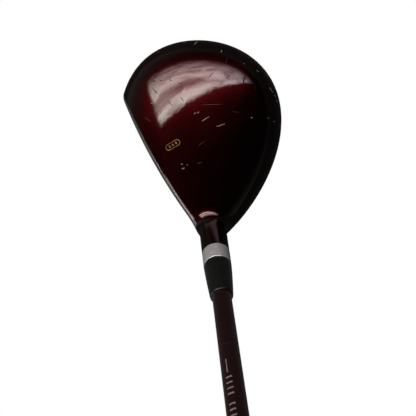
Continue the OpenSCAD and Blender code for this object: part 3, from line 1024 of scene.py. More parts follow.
@dataclass
class CrownWear:
    """What years of play left on the paint."""

    form: HeadForm
    pale: tuple[Scratch, ...] = (
        Scratch(-12.5, 37.3, 102, 1.3, 0.39), Scratch(-12, 39, 110, 1.2, 0.33),
        Scratch(-7.5, 40.5, 91, 4.6, 0.36), Scratch(-1, 45.5, 78, 4.6, 0.33),
        Scratch(8.2, 18.2, 79, 1.8, 0.45), Scratch(6, 18.7, 66, 1.2, 0.39),
        Scratch(7.7, 20.8, 70, 0.8, 0.33), Scratch(3.3, 60, 40, 0.9, 0.52), Scratch(7.5, 66, 30, 0.8, 0.45),
        Scratch(10.5, 67.2, 40, 0.7, 0.39), Scratch(-28, 19.8, 60, 0.8, 0.33),
        Scratch(-4, 73.2, 1, 3.7, 0.72), Scratch(-0.5, 73.2, 10, 1.4, 0.52), Scratch(2, 72.7, 0, 1.1, 0.45),
        Scratch(-43.5, 52, 115, 2.1, 0.45), Scratch(-47, 47, 110, 1.4, 0.33),
        Scratch(-15.5, 72.3, 20, 1.4, 0.52), Scratch(-22, 68.6, 30, 0.9, 0.45),
        Scratch(-33, 61.8, 150, 1.1, 0.52), Scratch(-15.5, 61.8, -18, 1.4, 0.33),
    )
    faint: tuple[Scratch, ...] = (
        Scratch(-12, 46.8, 61, 10.9, 0.2), Scratch(-27, 62, 140, 5, 0.16), Scratch(-3, 55, 50, 4, 0.16),
        Scratch(2, 33, 95, 6, 0.16), Scratch(-22, 14, 30, 5, 0.16), Scratch(10, 27, 75, 3, 0.24),
    )
    dark: tuple[Scratch, ...] = (
        Scratch(-25, 53, 106, 3.7, 0.3), Scratch(-22.8, 28.6, 17, 4.3, 0.26),
        Scratch(-21.8, 35, 8, 2.9, 0.34), Scratch(-32.5, 24.3, 13, 4, 0.38),
        Scratch(-15, 65.6, 139, 5.1, 0.6), Scratch(-35.5, 29.4, 37, 1.9, 0.38),
        Scratch(-37, 26, 60, 1.6, 0.52), Scratch(-29, 38, 70, 2.2, 0.38), Scratch(-33, 34, 20, 1.6, 0.38),
        Scratch(-20, 60, 110, 2, 0.3), Scratch(-9, 68, 150, 2.4, 0.68), Scratch(-26, 43, 95, 2.6, 0.22),
    )
    ridge: float = 0.035
    chip_density: float = 70000.0
    chip_least: tuple[float, float, float] = (0.15, 0.1, 0.05)
    chip_most: tuple[float, float, float] = (0.7, 0.35, 0.1)

    def laid(self, path: Grid, width: Grid, ridge: float, closed: bool) -> tuple[Grid, list[tuple[int, ...]]]:
        """A thin ridge that follows a path over the crown.

        Args:
            path: Places in the head's plan.
            width: Width at each of them.
            ridge: Height above the paint, which is its depth in the paint too.
            closed: Whether the path's last place joins its first.

        Returns:
            The points and the faces.
        """
        p = self.form.on_crown(path[:, 0], path[:, 1])
        out = self.form.skin_out(p)
        run = np.roll(p, -1, 0) - np.roll(p, 1, 0) if closed else np.gradient(p, axis=0)
        side = unit(np.cross(out, run)) * width[:, None] / 2
        rows = np.stack([p + side, p + ridge * out, p - side, p - ridge * out], axis=1)
        faces = band_faces(len(p), 4, closed)
        if not closed:
            faces += [(3, 2, 1, 0), tuple(range(4 * len(p) - 4, 4 * len(p)))]
        return rows.reshape(-1, 3), faces

    def together(self, name: str, parts: Sequence[tuple[Grid, list[tuple[int, ...]]]]) -> bpy.types.Object:
        """Joins several ridges to one piece.

        Args:
            name: Name of the piece.
            parts: Points and faces of each ridge.

        Returns:
            The piece.
        """
        points, faces, count = [], [], 0
        for more, sides in parts:
            points.append(more)
            faces += [tuple(i + count for i in side) for side in sides]
            count += len(more)
        return mesh_object(name, self.form.placed(np.concatenate(points)), faces)

    def scratches(self, name: str, marks: Sequence[Scratch], finish: bpy.types.Material) -> bpy.types.Object:
        """All scratches of one kind."""
        piece = self.together(name, [self.laid(*mark.path(), self.ridge, False) for mark in marks])
        return dress(piece, finish)

    def chips(self, crown: bpy.types.Object, finish: bpy.types.Material) -> bpy.types.Object:
        """Small chips along the crown's rim, where it knocks against other clubs.

        Args:
            crown: The crown, with its chip values.
            finish: The chips' material.

        Returns:
            The piece.
        """
        inputs = {"Density": self.chip_density, "Seed": SEED, "Finish": finish,
                  "Least": [v * MM for v in self.chip_least], "Most": [v * MM for v in self.chip_most]}
        piece = grown("rim_chips", rim_chips(), inputs, Matrix(), crown.data.copy())
        return dress(piece, finish)


@dataclass
class AimMark:
    """The gold alignment mark: a fine stadium-shaped line round three lozenges.

    The lozenges' step, length and width are shares of the mark's width.
    """

    wear: CrownWear
    x: float = -4.5
    y: float = 19.5
    length: float = 8.4
    width: float = 3.2
    line: float = 0.36
    thick: float = 0.06
    lozenges: int = 3
    lozenge_step: float = 0.6
    lozenge_len: float = 0.4
    lozenge_width: float = 0.28
    steps: int = 56

    def stadium(self) -> Grid:
        """Places along the middle of the line.

        Returns:
            Places in the head's plan.
        """
        a = 2 * math.pi * (np.arange(self.steps) + 0.5) / self.steps
        r = (self.width - self.line) / 2
        straight = (self.length - self.width) / 2
        y = self.y + r * np.sin(a) + straight * np.sign(np.sin(a))
        return np.stack([self.x + r * np.cos(a), y], axis=-1)

    def build(self, finish: bpy.types.Material) -> bpy.types.Object:
        """The mark, in place of the plain one.

        Args:
            finish: Its material.

        Returns:
            The piece.
        """
        parts = [self.wear.laid(self.stadium(), np.full(self.steps, self.line), self.thick, True)]
        for k in range(self.lozenges):
            y = self.y + (k - (self.lozenges - 1) / 2) * self.lozenge_step * self.width
            path = Scratch(self.x, y, 0, self.lozenge_len * self.width, self.lozenge_width * self.width)
            parts.append(self.wear.laid(*path.path(), self.thick, False))
        piece = self.wear.together("aim_mark", parts)
        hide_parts("crown_mark")
        return dress(piece, finish)


# ---- The head ----


@dataclass
class Head:
    """The painted crown, and the sole with its plate.

    Outer rows of points run from the neck to the rim and from the rim to the sole's middle, and only
    every few of them have an inner one.
    """

    form: HeadForm = field(default_factory=HeadForm)
    shell_t: float = 1.2
    bore_r: float = 5.94
    pocket_r: float = 18.04
    plate_r: float = 18.0
    plate_t: float = 1.6
    face_t: float = 2.8
    n_face: int = 96
    n_back: int = 208
    n_neck: int = 16
    n_crown: int = 64
    n_edge: int = 28
    n_sole: int = 48
    every: int = 4
    shoulder: tuple[float, float, float] = (4.0, 6.0, 8.0)
    paint_back: float = 0.8
    neck_clear: float = 1.5
    sleeve_end: float = 1.0
    body_clear: float = 2.0
    skirt_h: float = 5.0
    wall_step: float = 0.06
    chip_h: float = 7.0
    chip_off_paint_edge: float = 2.0
    chip_off_neck: float = 20.4

    def bare(self, p: Grid) -> Grid:
        """Distance past the paint's edge, below 0 where the paint is.

        Args:
            p: Points in millimetres.

        Returns:
            Millimetres past the edge.
        """
        off_neck = self.form.off_axis(p) - self.form.neck_r - self.neck_clear
        near_face = np.minimum(self.form.off_face(p) + self.paint_back, off_neck)
        under = self.form.equator_z(p[..., 1]) - p[..., 2] - self.skirt_h
        return np.maximum(near_face, under)

    def crown_rows(self) -> Grid:
        """Outer rows: down the neck, out to the shoulder and down to the rim.

        Returns:
            Rows of points, each of which runs once round the head.
        """
        f = self.form
        r = f.rim(1, self.n_face, self.n_back)
        ways = unit(f.from_axis(r))
        inside, outside = f.equator_h, 80.0
        s = root(lambda s: f.off_egg(f.foot + s[..., None] * f.up_shaft), inside, outside, (1,))[0]
        top = min(f.neck_top - self.sleeve_end, s + f.neck_blend + self.body_clear)
        inside, outside = f.neck_r - 1, f.neck_r + 6
        rows = []
        for k in range(self.n_neck + 1):
            middle = f.foot + mix(f.neck_top, top, k / self.n_neck) * f.up_shaft
            x = np.full(len(r), f.neck_r)
            if k:
                x = root(lambda x: f.skin(middle + x[..., None] * ways), inside, outside, (len(r),))
            rows.append(middle + x[:, None] * ways)
        steps = np.arange(len(r))
        side = np.where(steps <= self.n_face, np.cos(math.pi * steps / self.n_face), 0)
        ahead = f.plan_y - r[:, 1]
        front = np.maximum(0, ahead / np.hypot(r[:, 0], ahead))
        lift = np.stack([side, front, np.ones(len(r))], axis=-1) * self.shoulder
        over = f.hit(f.plan_hub, r + lift - f.plan_hub)
        start = f.foot + top * f.up_shaft + f.neck_r * ways
        for k in range(1, self.n_crown + 1):
            rows.append(f.hit(f.hub, mix(start, over, ease(k / self.n_crown)) - f.hub))
        for k in range(1, self.n_edge):
            rows.append(f.hit(f.plan_hub, mix(over, r, k / self.n_edge) - f.plan_hub))
        rows.append(r)
        return np.array(rows)

    def rim_in(self, r: Grid) -> Grid:
        """The rim's inner edge: square to the face along the face plate, and to the skin elsewhere.

        Args:
            r: The rim's outer points.

        Returns:
            The inner point for each.
        """
        inward = self.form.skin_out(r)
        front = slice(0, self.n_face + 1)
        inward[front] = unit(r[front] - self.form.face_hub)
        return r - self.shell_t * inward

    def crown(self, finish: bpy.types.Material) -> bpy.types.Object:
        """The crown with its neck sleeve, as a closed shell.

        Args:
            finish: Its material.

        Returns:
            The piece.
        """
        f = self.form
        outer = self.crown_rows()
        r = outer[-1]
        ways = unit(f.from_axis(r))
        inner = []
        for k in [*range(len(outer) - 1, 0, -self.every), 0]:
            if k == len(outer) - 1:
                inner.append(self.rim_in(r))
            elif k <= self.n_neck:
                inner.append(outer[k] + (self.bore_r - f.off_axis(outer[k]))[:, None] * ways)
            else:
                p = outer[k] - self.shell_t * f.skin_out(outer[k])
                w = f.from_axis(p)
                d = np.linalg.norm(w, axis=-1, keepdims=True)
                inner.append(np.where(d < self.bore_r, p + w * (self.bore_r / d - 1), p))
        rows = np.concatenate([outer, np.array(inner)])
        points = rows.reshape(-1, 3)
        piece = mesh_object("crown", f.placed(points), band_faces(len(rows), len(r), True))
        set_value(piece, "bare", self.bare(points))
        low = 1 - (points[:, 2] - f.equator_z(points[:, 1])) / self.chip_h
        outside = np.arange(len(points)) < outer.size / 3 - len(r)
        clear = (self.bare(points) < -self.chip_off_paint_edge) & (f.off_axis(points) > self.chip_off_neck)
        set_value(piece, "chip", np.where(outside & clear, np.clip(low, 0, 1) ** 2, 0))
        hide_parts("crown_shell")
        return dress(piece, finish)

    def sole(self, finish: bpy.types.Material) -> bpy.types.Object:
        """The sole with its skirt and the pocket of the sole plate, as a closed bowl.

        Args:
            finish: Its material.

        Returns:
            The piece.
        """
        f = self.form
        r = f.rim(-1, self.n_face, self.n_back)
        up = np.array([0.0, 0.0, 1.0])
        middle = np.array([0.0, f.rest_back, 0.0])
        flat = unit((r - middle) * (1 - up))
        edge = middle + self.pocket_r * flat
        rows = [r]
        for k in range(1, self.n_sole):
            g = mix(r, edge + f.sole_lift * up, math.sin(math.pi / 2 * k / self.n_sole))
            rows.append(f.hit(f.plan_hub, g - f.plan_hub))
        inside, outside = f.equator_h / 2, -6.0
        lip = root(lambda z: f.skin(edge + z[:, None] * up), outside, inside, (len(r),))[:, None] * up
        rows += [edge + lip, edge + self.plate_t * up]
        rows.append(mix(rows[-1], middle + self.plate_t * up, ALMOST))
        inner = [self.rim_in(r)]
        wall_r = self.pocket_r + self.shell_t
        for k in range(self.every, self.n_sole - 2, self.every):
            p = rows[k] - self.shell_t * f.skin_out(rows[k])
            v = (p - middle) * (1 - up)
            d = np.linalg.norm(v, axis=-1, keepdims=True)
            least = wall_r + self.wall_step * (self.n_sole - k)
            inner.append(np.where(d < least, p + v * (least / d - 1), p))
        wall, roof = middle + wall_r * flat, (self.plate_t + self.shell_t) * up
        inner += [wall + lip + self.shell_t * up, wall + roof]
        inner.append(mix(inner[-1], middle + roof, ALMOST))
        rows = np.array(rows[::-1] + inner)
        points = rows.reshape(-1, 3)
        n, m = len(r), len(rows)
        faces = band_faces(m, n, False) + [tuple(range(n))[::-1], tuple(range((m - 1) * n, m * n))]
        piece = mesh_object("sole", f.placed(points), faces)
        set_value(piece, "bare", self.bare(points))
        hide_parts("sole_shell")
        return dress(piece, finish)

    def sole_plate(
        self, finish: bpy.types.Material, ring: float = 1.3, cut: float = 0.12, corner: float = 0.3,
        steps: int = 6
    ) -> bpy.types.Object:
        """The round plate that the club stands on, with the rings that facing it on a lathe left.

        Args:
            finish: Its material.
            ring: Width of a ring.
            cut: Depth of the groove between two rings.
            corner: Radius of its edge.
            steps: Steps in a ring's profile.

        Returns:
            The plate.
        """
        r = self.plate_r
        rings = int((r - 2 * ring) / ring)
        profile = [(0, 0)]
        for k in range(rings * steps + 1):
            u = k / steps
            profile.append((ring * (u + 1), cut * (0.5 - 0.5 * math.cos(2 * math.pi * u)) ** 3))
        profile += arc(r - corner, corner, corner, -90, 0, 4) + [(r, self.plate_t), (0, self.plate_t)]
        piece = Axis().turned("faced_sole_plate", profile, 160, 60)
        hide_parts("sole_plate")
        return dress(piece, finish)


@dataclass
class FacePlate:
    """The hitting plate with its score lines."""

    head: Head
    lines: int = 8
    pitch: float = 3.2
    line_len: float = 38.0
    line_w: float = 0.85
    line_depth: float = 0.45
    n_ring: int = 20
    n_inner: int = 4
    sharp: float = 25.0

    def blank(self) -> bpy.types.Object:
        """The plate before its lines are cut: full thickness inside a thinner welded edge.

        Returns:
            The piece.
        """
        f, n = self.head.form, self.head.n_face
        angles = np.concatenate([math.pi * np.arange(n + 1) / n, -math.pi * np.arange(n - 1, 0, -1) / n])
        r = f.outline_r(angles)
        bevel = self.head.face_t - self.head.shell_t
        rows = [f.on_face(angles, r * k / self.n_ring) for k in range(1, self.n_ring + 1)]
        rows.append(rows[-1] - self.head.shell_t * unit(rows[-1] - f.face_hub))
        for k in range(self.n_inner, 0, -1):
            p = f.on_face(angles, (r - bevel) * k / self.n_inner)
            rows.append(p - self.head.face_t * unit(p - f.face_hub))
        count = len(angles)
        points = np.concatenate([*rows, [f.face_mid, f.face_mid - self.head.face_t * f.face_out]])
        faces: list[tuple[int, ...]] = band_faces(len(rows), count, False)
        hub, last = len(points) - 2, (len(rows) - 1) * count
        for i in range(count):
            j = (i + 1) % count
            faces += [(j, i, hub), (last + i, last + j, hub + 1)]
        return mesh_object("scored_face_plate", f.placed(points), faces)

    def build(self, finish: bpy.types.Material) -> bpy.types.Object:
        """The plate with its lines cut by bars bent to the face.

        Args:
            finish: Its material.

        Returns:
            The piece.
        """
        f = self.head.form
        middle = Vector(f.placed(f.face_mid))
        across = Vector(f.face_up).cross(Vector(f.face_out))
        place = Matrix.Translation(middle) @ Matrix((across, f.face_up, f.face_out)).transposed().to_4x4()
        sizes = {"Pitch": self.pitch, "Length": self.line_len, "Width": self.line_w,
                 "Depth": 2 * self.line_depth, "Sphere": f.face_r}
        inputs = {"Count": self.lines, "Finish": finish, **{k: v * MM for k, v in sizes.items()}}
        bars = grown("score_bars", score_lines(), inputs, place)
        piece = self.blank()
        cut = piece.modifiers.new("score", "BOOLEAN")
        cut.operation = "DIFFERENCE"
        cut.solver = "EXACT"
        cut.object = bars
        settle(piece)
        bpy.data.objects.remove(bars)
        piece.data.materials.clear()
        piece.data.set_sharp_from_angle(angle=math.radians(self.sharp))
        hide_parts("face_plate")
        return dress(piece, finish)


# ---- Hosel, shaft and grip ----


@dataclass
class Hosel:
    """The turned tube whose bare collar shows above the neck, and the ferrule on it.

    The foot gives how far in and how high each point of the ferrule's lower edge lies.
    """

    axis: Axis
    bottom: float = 26.5
    tube_r: float = 5.9
    neck_r: float = 6.8
    neck_top: float = 58.0
    collar_top: float = 67.5
    bore_r: float = 4.7
    floor: float = 29.5
    bevel: float = 0.3
    ferrule_len: float = 22.0
    ferrule_r: float = 5.5
    ferrule_round: float = 0.7
    ferrule_swell: float = 0.12
    foot: tuple[tuple[float, float], ...] = ((0.12, 0.0), (0.02, 0.15))
    shaft_r: float = 4.5
    mouth_gap: float = 0.1

    def tube(self, finish: bpy.types.Material) -> bpy.types.Object:
        """The tube with its collar, which has a small bevel at each end.

        Args:
            finish: Its material.

        Returns:
            The piece.
        """
        b = self.bevel
        profile = [(0, self.bottom), (self.tube_r - b, self.bottom), (self.tube_r, self.bottom + b),
                   (self.tube_r, self.neck_top), (self.neck_r - b / 3, self.neck_top)]
        profile += [(self.neck_r, self.neck_top + b / 3), (self.neck_r, self.collar_top - b)]
        profile += arc(self.neck_r - b, self.collar_top - b, b, 15, 90, 5)
        profile += [(self.bore_r, self.collar_top), (self.bore_r, self.floor), (0, self.floor)]
        piece = self.axis.turned("hosel_with_collar", profile, 128, 40)
        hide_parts("hosel_tube")
        return dress(piece, finish)

    def ferrule(self, finish: bpy.types.Material) -> bpy.types.Object:
        """The tapered black ferrule with its rounded end.

        Args:
            finish: Its material.

        Returns:
            The piece.
        """
        top = self.collar_top + self.ferrule_len
        end = self.ferrule_r - self.ferrule_round
        profile = [(self.shaft_r, self.collar_top)]
        profile += [(self.neck_r - back, self.collar_top + rise) for back, rise in self.foot]
        steps = 12
        for k in range(1, steps):
            t = k / steps
            swell = self.ferrule_swell * math.sin(math.pi * t)
            profile.append((mix(self.neck_r, self.ferrule_r, t) + swell, mix(self.collar_top, top, t)))
        profile += arc(end, top - self.ferrule_round, self.ferrule_round, 10, 90, 6)
        profile += [(self.shaft_r + self.mouth_gap, top)]
        piece = self.axis.turned("black_ferrule", profile, 128, 50)
        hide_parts("ferrule")
        return dress(piece, finish)


@dataclass(frozen=True)
class PrintedRow:
    """A row of plain bars round the shaft, in groups. Sizes are millimetres and the angle is degrees."""

    name: str
    count: int
    start: float
    along: float
    around: float
    angle: float
    group: int = 1
    pitch: float = 0.0
    gap: float = 0.0


@dataclass
class Shaft:
    """The lacquered graphite tube with its printed ring and bars."""

    axis: Axis
    tip: float = 30.7
    taper_from: float = 72.7
    butt: float = 1085.0
    tip_r: float = 4.5
    butt_r: float = 7.6
    wall: float = 1.2
    bevel: float = 0.3
    steps: int = 24
    ring_at: float = 124.0
    ring_w: float = 0.5
    film: float = 0.02
    dash: PrintedRow = PrintedRow("print_dash", 1, 137.2, 8.0, 0.45, -2.0)
    bars: PrintedRow = PrintedRow("print_bars", 16, 144.0, 0.9, 2.9, -6.0, 4, 3.1, 2.6)

    @property
    def taper(self) -> float:
        """Growth of the radius for each millimetre."""
        return (self.butt_r - self.tip_r) / (self.butt - self.taper_from)

    def radius(self, place: float) -> float:
        """Outer radius at a place."""
        return self.tip_r + self.taper * max(0.0, place - self.taper_from)

    def tube(self, finish: bpy.types.Material) -> bpy.types.Object:
        """The tube itself.

        Args:
            finish: Its material.

        Returns:
            The piece.
        """
        inner = self.tip_r - self.wall
        b = self.bevel
        profile = [(inner, self.tip), (self.tip_r - b, self.tip), (self.tip_r, self.tip + b)]
        for k in range(self.steps + 1):
            s = mix(self.taper_from, self.butt, k / self.steps)
            profile.append((self.radius(s), s))
        profile += [(self.butt_r - self.wall, self.butt), (inner, self.taper_from)]
        piece = self.axis.turned("graphite_shaft", profile)
        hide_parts("shaft")
        return dress(piece, finish)

    def ring(self, finish: bpy.types.Material) -> bpy.types.Object:
        """A fine ring round the shaft, where the wrap of the tip ends.

        Args:
            finish: Its material.

        Returns:
            The piece.
        """
        r, w = self.radius(self.ring_at), self.ring_w / 2
        profile = [(r - self.film, self.ring_at - w), (r + self.film, self.ring_at - w / 2),
                   (r + self.film, self.ring_at + w / 2), (r - self.film, self.ring_at + w)]
        return dress(self.axis.turned("tip_ring", profile, 96, 80), finish)

    def printed(self, row: PrintedRow, finish: bpy.types.Material) -> bpy.types.Object:
        """A print of plain bars.

        Args:
            row: The row of bars.
            finish: Its material.

        Returns:
            The piece.
        """
        sizes = {"Start": row.start, "Pitch": row.pitch, "Gap": row.gap, "Along": row.along,
                 "Round": row.around, "Height": 2 * self.film,
                 "Radius": self.tip_r - self.taper * self.taper_from}
        inputs = {k: v * MM for k, v in sizes.items()}
        inputs |= {"Count": row.count, "Group": row.group, "Angle": math.radians(row.angle),
                   "Taper": self.taper, "Finish": finish}
        return dress(grown(row.name, printed_bars(), inputs, self.axis.matrix), finish)

    def build(
        self, lacquer: bpy.types.Material, ink: bpy.types.Material, ring: bpy.types.Material
    ) -> None:
        """The tube, the ring, the long dash and the row of short bars after it.

        Args:
            lacquer: Material of the tube.
            ink: Material of the bars.
            ring: Material of the ring.
        """
        self.tube(lacquer)
        self.ring(ring)
        self.printed(self.dash, ink)
        self.printed(self.bars, ink)


@dataclass
class Grip:
    """The rubber sleeve with its studs and the cap that closes it.

    The cap's ring has a depth, and a place and a width as shares of the way from its rim to its vent.
    """

    axis: Axis
    shaft: Shaft
    mouth: float = 822.0
    mouth_r: float = 9.3
    butt_r: float = 13.2
    tape_t: float = 0.4
    tape_back: float = 12.0
    lip: float = 1.5
    ring_pitch: float = 2.2
    rings: int = 5
    ring_cut: float = 0.35
    land: float = 1.0
    rows: int = 44
    columns: int = 16
    stud_len: float = 2.0
    stud_w: float = 1.1
    stud_h: float = 0.3
    stud_clear: float = 4.0
    cap_r: float = 14.75
    cap_t: float = 5.0
    cap_dome: float = 1.0
    cap_round: float = 2.25
    cap_ring: tuple[float, float, float] = (0.5, 0.35, 0.06)
    vent_r: float = 1.6
    vent_round: float = 0.3

    @property
    def butt(self) -> float:
        """Where the sleeve ends and the cap starts."""
        return self.shaft.butt

    @property
    def grooves(self) -> float:
        """Length of the grooves at one end."""
        return self.rings * self.ring_pitch

    def outer(self, place: float) -> float:
        """Outer radius of the sleeve at a place."""
        start = self.mouth + self.lip
        return mix(self.mouth_r, self.butt_r, (place - start) / (self.butt - start))

    def sleeve(self, finish: bpy.types.Material) -> bpy.types.Object:
        """The sleeve, with grooves round its mouth and round its butt.

        Args:
            finish: Its material.

        Returns:
            The piece.
        """
        tape_end = self.mouth + self.tape_back
        profile = [(self.shaft.radius(self.mouth), self.mouth)]
        profile += arc(self.mouth_r - self.lip, self.mouth + self.lip, self.lip, -90, 0)
        steps = 8 * self.rings
        for start in (self.mouth + 2 * self.lip, self.butt - self.grooves - self.land):
            for k in range(steps + 1):
                s = start + self.grooves * k / steps
                cut = self.ring_cut * (0.5 - 0.5 * math.cos(2 * math.pi * self.rings * k / steps)) ** 2
                profile.append((self.outer(s) - cut, s))
        profile += [(self.butt_r, self.butt), (self.shaft.radius(self.butt) + self.tape_t, self.butt)]
        inner = self.shaft.radius(tape_end)
        profile += [(inner + self.tape_t, tape_end), (inner, tape_end)]
        piece = self.axis.turned("grip_sleeve", profile, 128, 50)
        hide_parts("grip")
        return dress(piece, finish)

    def studs(self, finish: bpy.types.Material) -> bpy.types.Object:
        """The raised lozenges between the grooves at both ends.

        Args:
            finish: Its material.

        Returns:
            The piece.
        """
        start = self.mouth + 2 * self.lip + self.grooves + self.stud_clear
        end = self.butt - self.land - self.grooves - self.stud_clear
        taper = (self.butt_r - self.mouth_r) / (self.butt - self.mouth - self.lip)
        sizes = {"Start": start, "Pitch": (end - start) / (self.rows - 1), "Length": self.stud_len,
                 "Width": self.stud_w, "Height": self.stud_h, "Radius": self.outer(0.0) + self.stud_h}
        inputs = {k: v * MM for k, v in sizes.items()}
        inputs |= {"Rows": self.rows, "Columns": self.columns, "Taper": taper, "Finish": finish}
        return dress(grown("grip_studs", studs(), inputs, self.axis.matrix), finish)

    def cap(self, finish: bpy.types.Material) -> bpy.types.Object:
        """The cap with its rounded rim, a ring cut in its end and the vent.

        Args:
            finish: Its material.

        Returns:
            The piece.
        """
        top, edge = self.butt + self.cap_t, self.cap_round
        low = top - self.cap_dome
        depth, middle, width = self.cap_ring
        profile = [(self.vent_r, self.butt), (self.cap_r - edge / 2, self.butt)]
        profile += arc(self.cap_r - edge, low - edge, edge, -40, 90, 16)
        steps = 24
        for k in range(1, steps):
            t = k / steps
            ring = depth * math.exp(-((t - middle) / width) ** 2)
            dome = self.cap_dome * math.sin(math.pi / 2 * t)
            profile.append((mix(self.cap_r - edge, self.vent_r, t), low + dome - ring))
        profile += arc(self.vent_r + self.vent_round, top - self.vent_round, self.vent_round, 90, 180, 4)
        piece = self.axis.turned("vented_cap", profile, 128, 50)
        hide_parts("grip_cap")
        return dress(piece, finish)


# ---- Stage, light and camera ----


@dataclass(frozen=True)
class Stage:
    """A floor that is plain white to the camera and has a painted shadow round the club, in a dim room.

    The rise is the direction in which the walls give way to the ceiling, and its wall edges are where
    that starts and ends.
    """

    size: float = 6.0
    sunk: float = 0.1 * MM
    # Painted shadow: the floor's colour is darkest round the club and lightens between the two radii below.
    painted_shadow_shade: str = "#090909"
    far_shade: str = "#262626"
    painted_shadow_r: float = 0.1
    painted_shadow_end_r: float = 1.0
    walls: str = "#767874"
    ceiling: str = "#121212"
    rise: tuple[float, float, float] = (0.0, 0.4, 1.0)
    wall_edges: tuple[float, float] = (-0.1, 0.5)

    def white_to_camera(
        self, tree: bpy.types.NodeTree, plain: bpy.types.Node, output: bpy.types.Node
    ) -> None:
        """Shows plain white to the camera and the shader to everything else.

        Args:
            tree: The tree of the floor or the world.
            plain: The shader that everything but the camera sees.
            output: The tree's output node.
        """
        seen = add(tree, "LightPath").outputs["Is Camera Ray"]
        kind = "Background" if output.type == "OUTPUT_WORLD" else "Emission"
        white = add(tree, kind, {"Color": (1.0, 1.0, 1.0, 1.0)})
        both = add(tree, "MixShader", {0: seen, 1: plain, 2: white})
        join(tree, output, {"Surface": both})

    def floor(self) -> bpy.types.Object:
        """The floor under the club. To all but the camera it is grey, with a painted shadow round the club.

        Returns:
            The floor.
        """
        corners = np.array([[-1, -1], [1, -1], [1, 1], [-1, 1]]) * self.size / 2
        piece = mesh_object("floor", np.insert(corners, 2, -self.sunk, axis=1), [(0, 1, 2, 3)])
        material = bpy.data.materials.new("white_floor_painted_shadow")
        material.use_nodes = True
        tree = material.node_tree
        shader = tree.nodes["Principled BSDF"]
        place = add(tree, "TexCoord").outputs["Object"]
        # Painted shadow: darker near the club's place, lighter from the first radius out to the second.
        off = add(tree, "VectorMath", {0: place}, operation="LENGTH")
        share = add(tree, "MapRange", {0: off, 1: self.painted_shadow_r, 2: self.painted_shadow_end_r})
        shade = add(tree, "Mix", {0: share, 6: linear(self.painted_shadow_shade), 7: linear(self.far_shade)},
                    data_type="RGBA")
        join(tree, shader, {"Base Color": shade, "Roughness": 0.9})
        self.white_to_camera(tree, shader, tree.nodes["Material Output"])
        piece.data.materials.append(material)
        return piece

    def world(self) -> None:
        """The room's own dim light, from walls that are paler than the ceiling."""
        world = bpy.data.worlds.new("room")
        world.use_nodes = True
        tree = world.node_tree
        plain = tree.nodes["Background"]
        way = add(tree, "TexCoord").outputs["Generated"]
        height = add(tree, "VectorMath", {0: way, 1: self.rise}, operation="DOT_PRODUCT")
        low, high = self.wall_edges
        share = add(tree, "MapRange", {0: height, 1: low, 2: high})
        shade = add(tree, "Mix", {0: share, 6: linear(self.walls), 7: linear(self.ceiling)},
                    data_type="RGBA")
        join(tree, plain, {"Color": shade})
        self.white_to_camera(tree, plain, tree.nodes["World Output"])
        bpy.context.scene.world = world


@dataclass(frozen=True)
class GlazingBar:
    """A dark bar that runs from a window's near end: its place across, half width, gloom and reach."""

    place: float
    half: float
    gloom: float
    reach: float


@dataclass(frozen=True)
class Softbox:
    """A rectangular lamp over the club that faces down, with edges that fade.

    Each of the fades is the share of the lamp's width or length over which it brightens from
    one side: left, right, near and far. The slant is how much further back the near edge lies at
    the right, as a share of the length. Uneven is how much darker its blotches may be, and blotches
    how many lie across it.
    """

    name: str
    middle: tuple[float, float, float]
    size: tuple[float, float]
    radiance: float
    colour: str = "#ffffff"
    far_colour: str = "#ffffff"
    fades: tuple[float, float, float, float] = (0.02, 0.02, 0.02, 0.02)
    slant: float = 0.0
    uneven: float = 0.0
    blotches: float = 9.0
    bar: GlazingBar | None = None
    turn: float = 0.0
    aim: tuple[float, float, float] | None = None

    def light(self) -> bpy.types.Object:
        """Makes the lamp.

        Returns:
            The lamp.
        """
        data = bpy.data.lights.new(self.name, "AREA")
        data.shape = "RECTANGLE"
        data.size, data.size_y = self.size
        data.energy = self.radiance * math.pi * self.size[0] * self.size[1]
        data.use_nodes = True
        tree = data.node_tree
        pane = add(tree, "NewGeometry").outputs["Parametric"]
        across = add(tree, "SeparateXYZ", {0: pane})
        slanted = add(tree, "Math", {0: across.outputs[0], 1: -self.slant, 2: across.outputs[1]},
                      operation="MULTIPLY_ADD")
        places = (across.outputs[0], across.outputs[0], slanted, across.outputs[1])
        parts = []
        for side, (place, start) in enumerate(zip(places, self.fades)):
            low, high = (0.0, start) if side % 2 == 0 else (1.0, 1.0 - start)
            values = {0: place, 1: low, 2: high}
            parts.append(add(tree, "MapRange", values, interpolation_type="SMOOTHSTEP"))
        if self.uneven:
            values = {"Vector": pane, "Scale": self.blotches, "Detail": 5.0, "Distortion": 0.8}
            cloud = add(tree, "TexNoise", values)
            parts.append(add(tree, "MapRange", {0: cloud, **MIDDLE, 3: 1 - self.uneven}))
        if self.bar:
            off = add(tree, "Math", {0: across.outputs[0], 1: self.bar.place}, operation="SUBTRACT")
            away = add(tree, "Math", {0: off}, operation="ABSOLUTE")
            clear = add(tree, "MapRange", {0: away, 2: self.bar.half, 3: self.bar.gloom},
                        interpolation_type="SMOOTHSTEP")
            past = add(tree, "MapRange", {0: across.outputs[1], 1: 0.6 * self.bar.reach, 2: self.bar.reach})
            parts.append(add(tree, "Math", {0: clear, 1: past}, operation="MAXIMUM"))
        glow = parts[0]
        for part in parts[1:]:
            glow = add(tree, "Math", {0: glow, 1: part}, operation="MULTIPLY")
        tint = add(tree, "Mix", {0: across.outputs[1], 6: linear(self.colour), 7: linear(self.far_colour)},
                   data_type="RGBA")
        join(tree, tree.nodes["Emission"], {"Strength": glow, "Color": tint})
        lamp = bpy.data.objects.new(self.name, data)
        lamp.location = self.middle
        lamp.rotation_euler.z = math.radians(self.turn)
        if self.aim is not None:
            lamp.rotation_euler = (Vector(self.aim) - Vector(self.middle)).to_track_quat("-Z", "Y").to_euler()
        lamp.visible_camera = False
        bpy.context.scene.collection.objects.link(lamp)
        return lamp


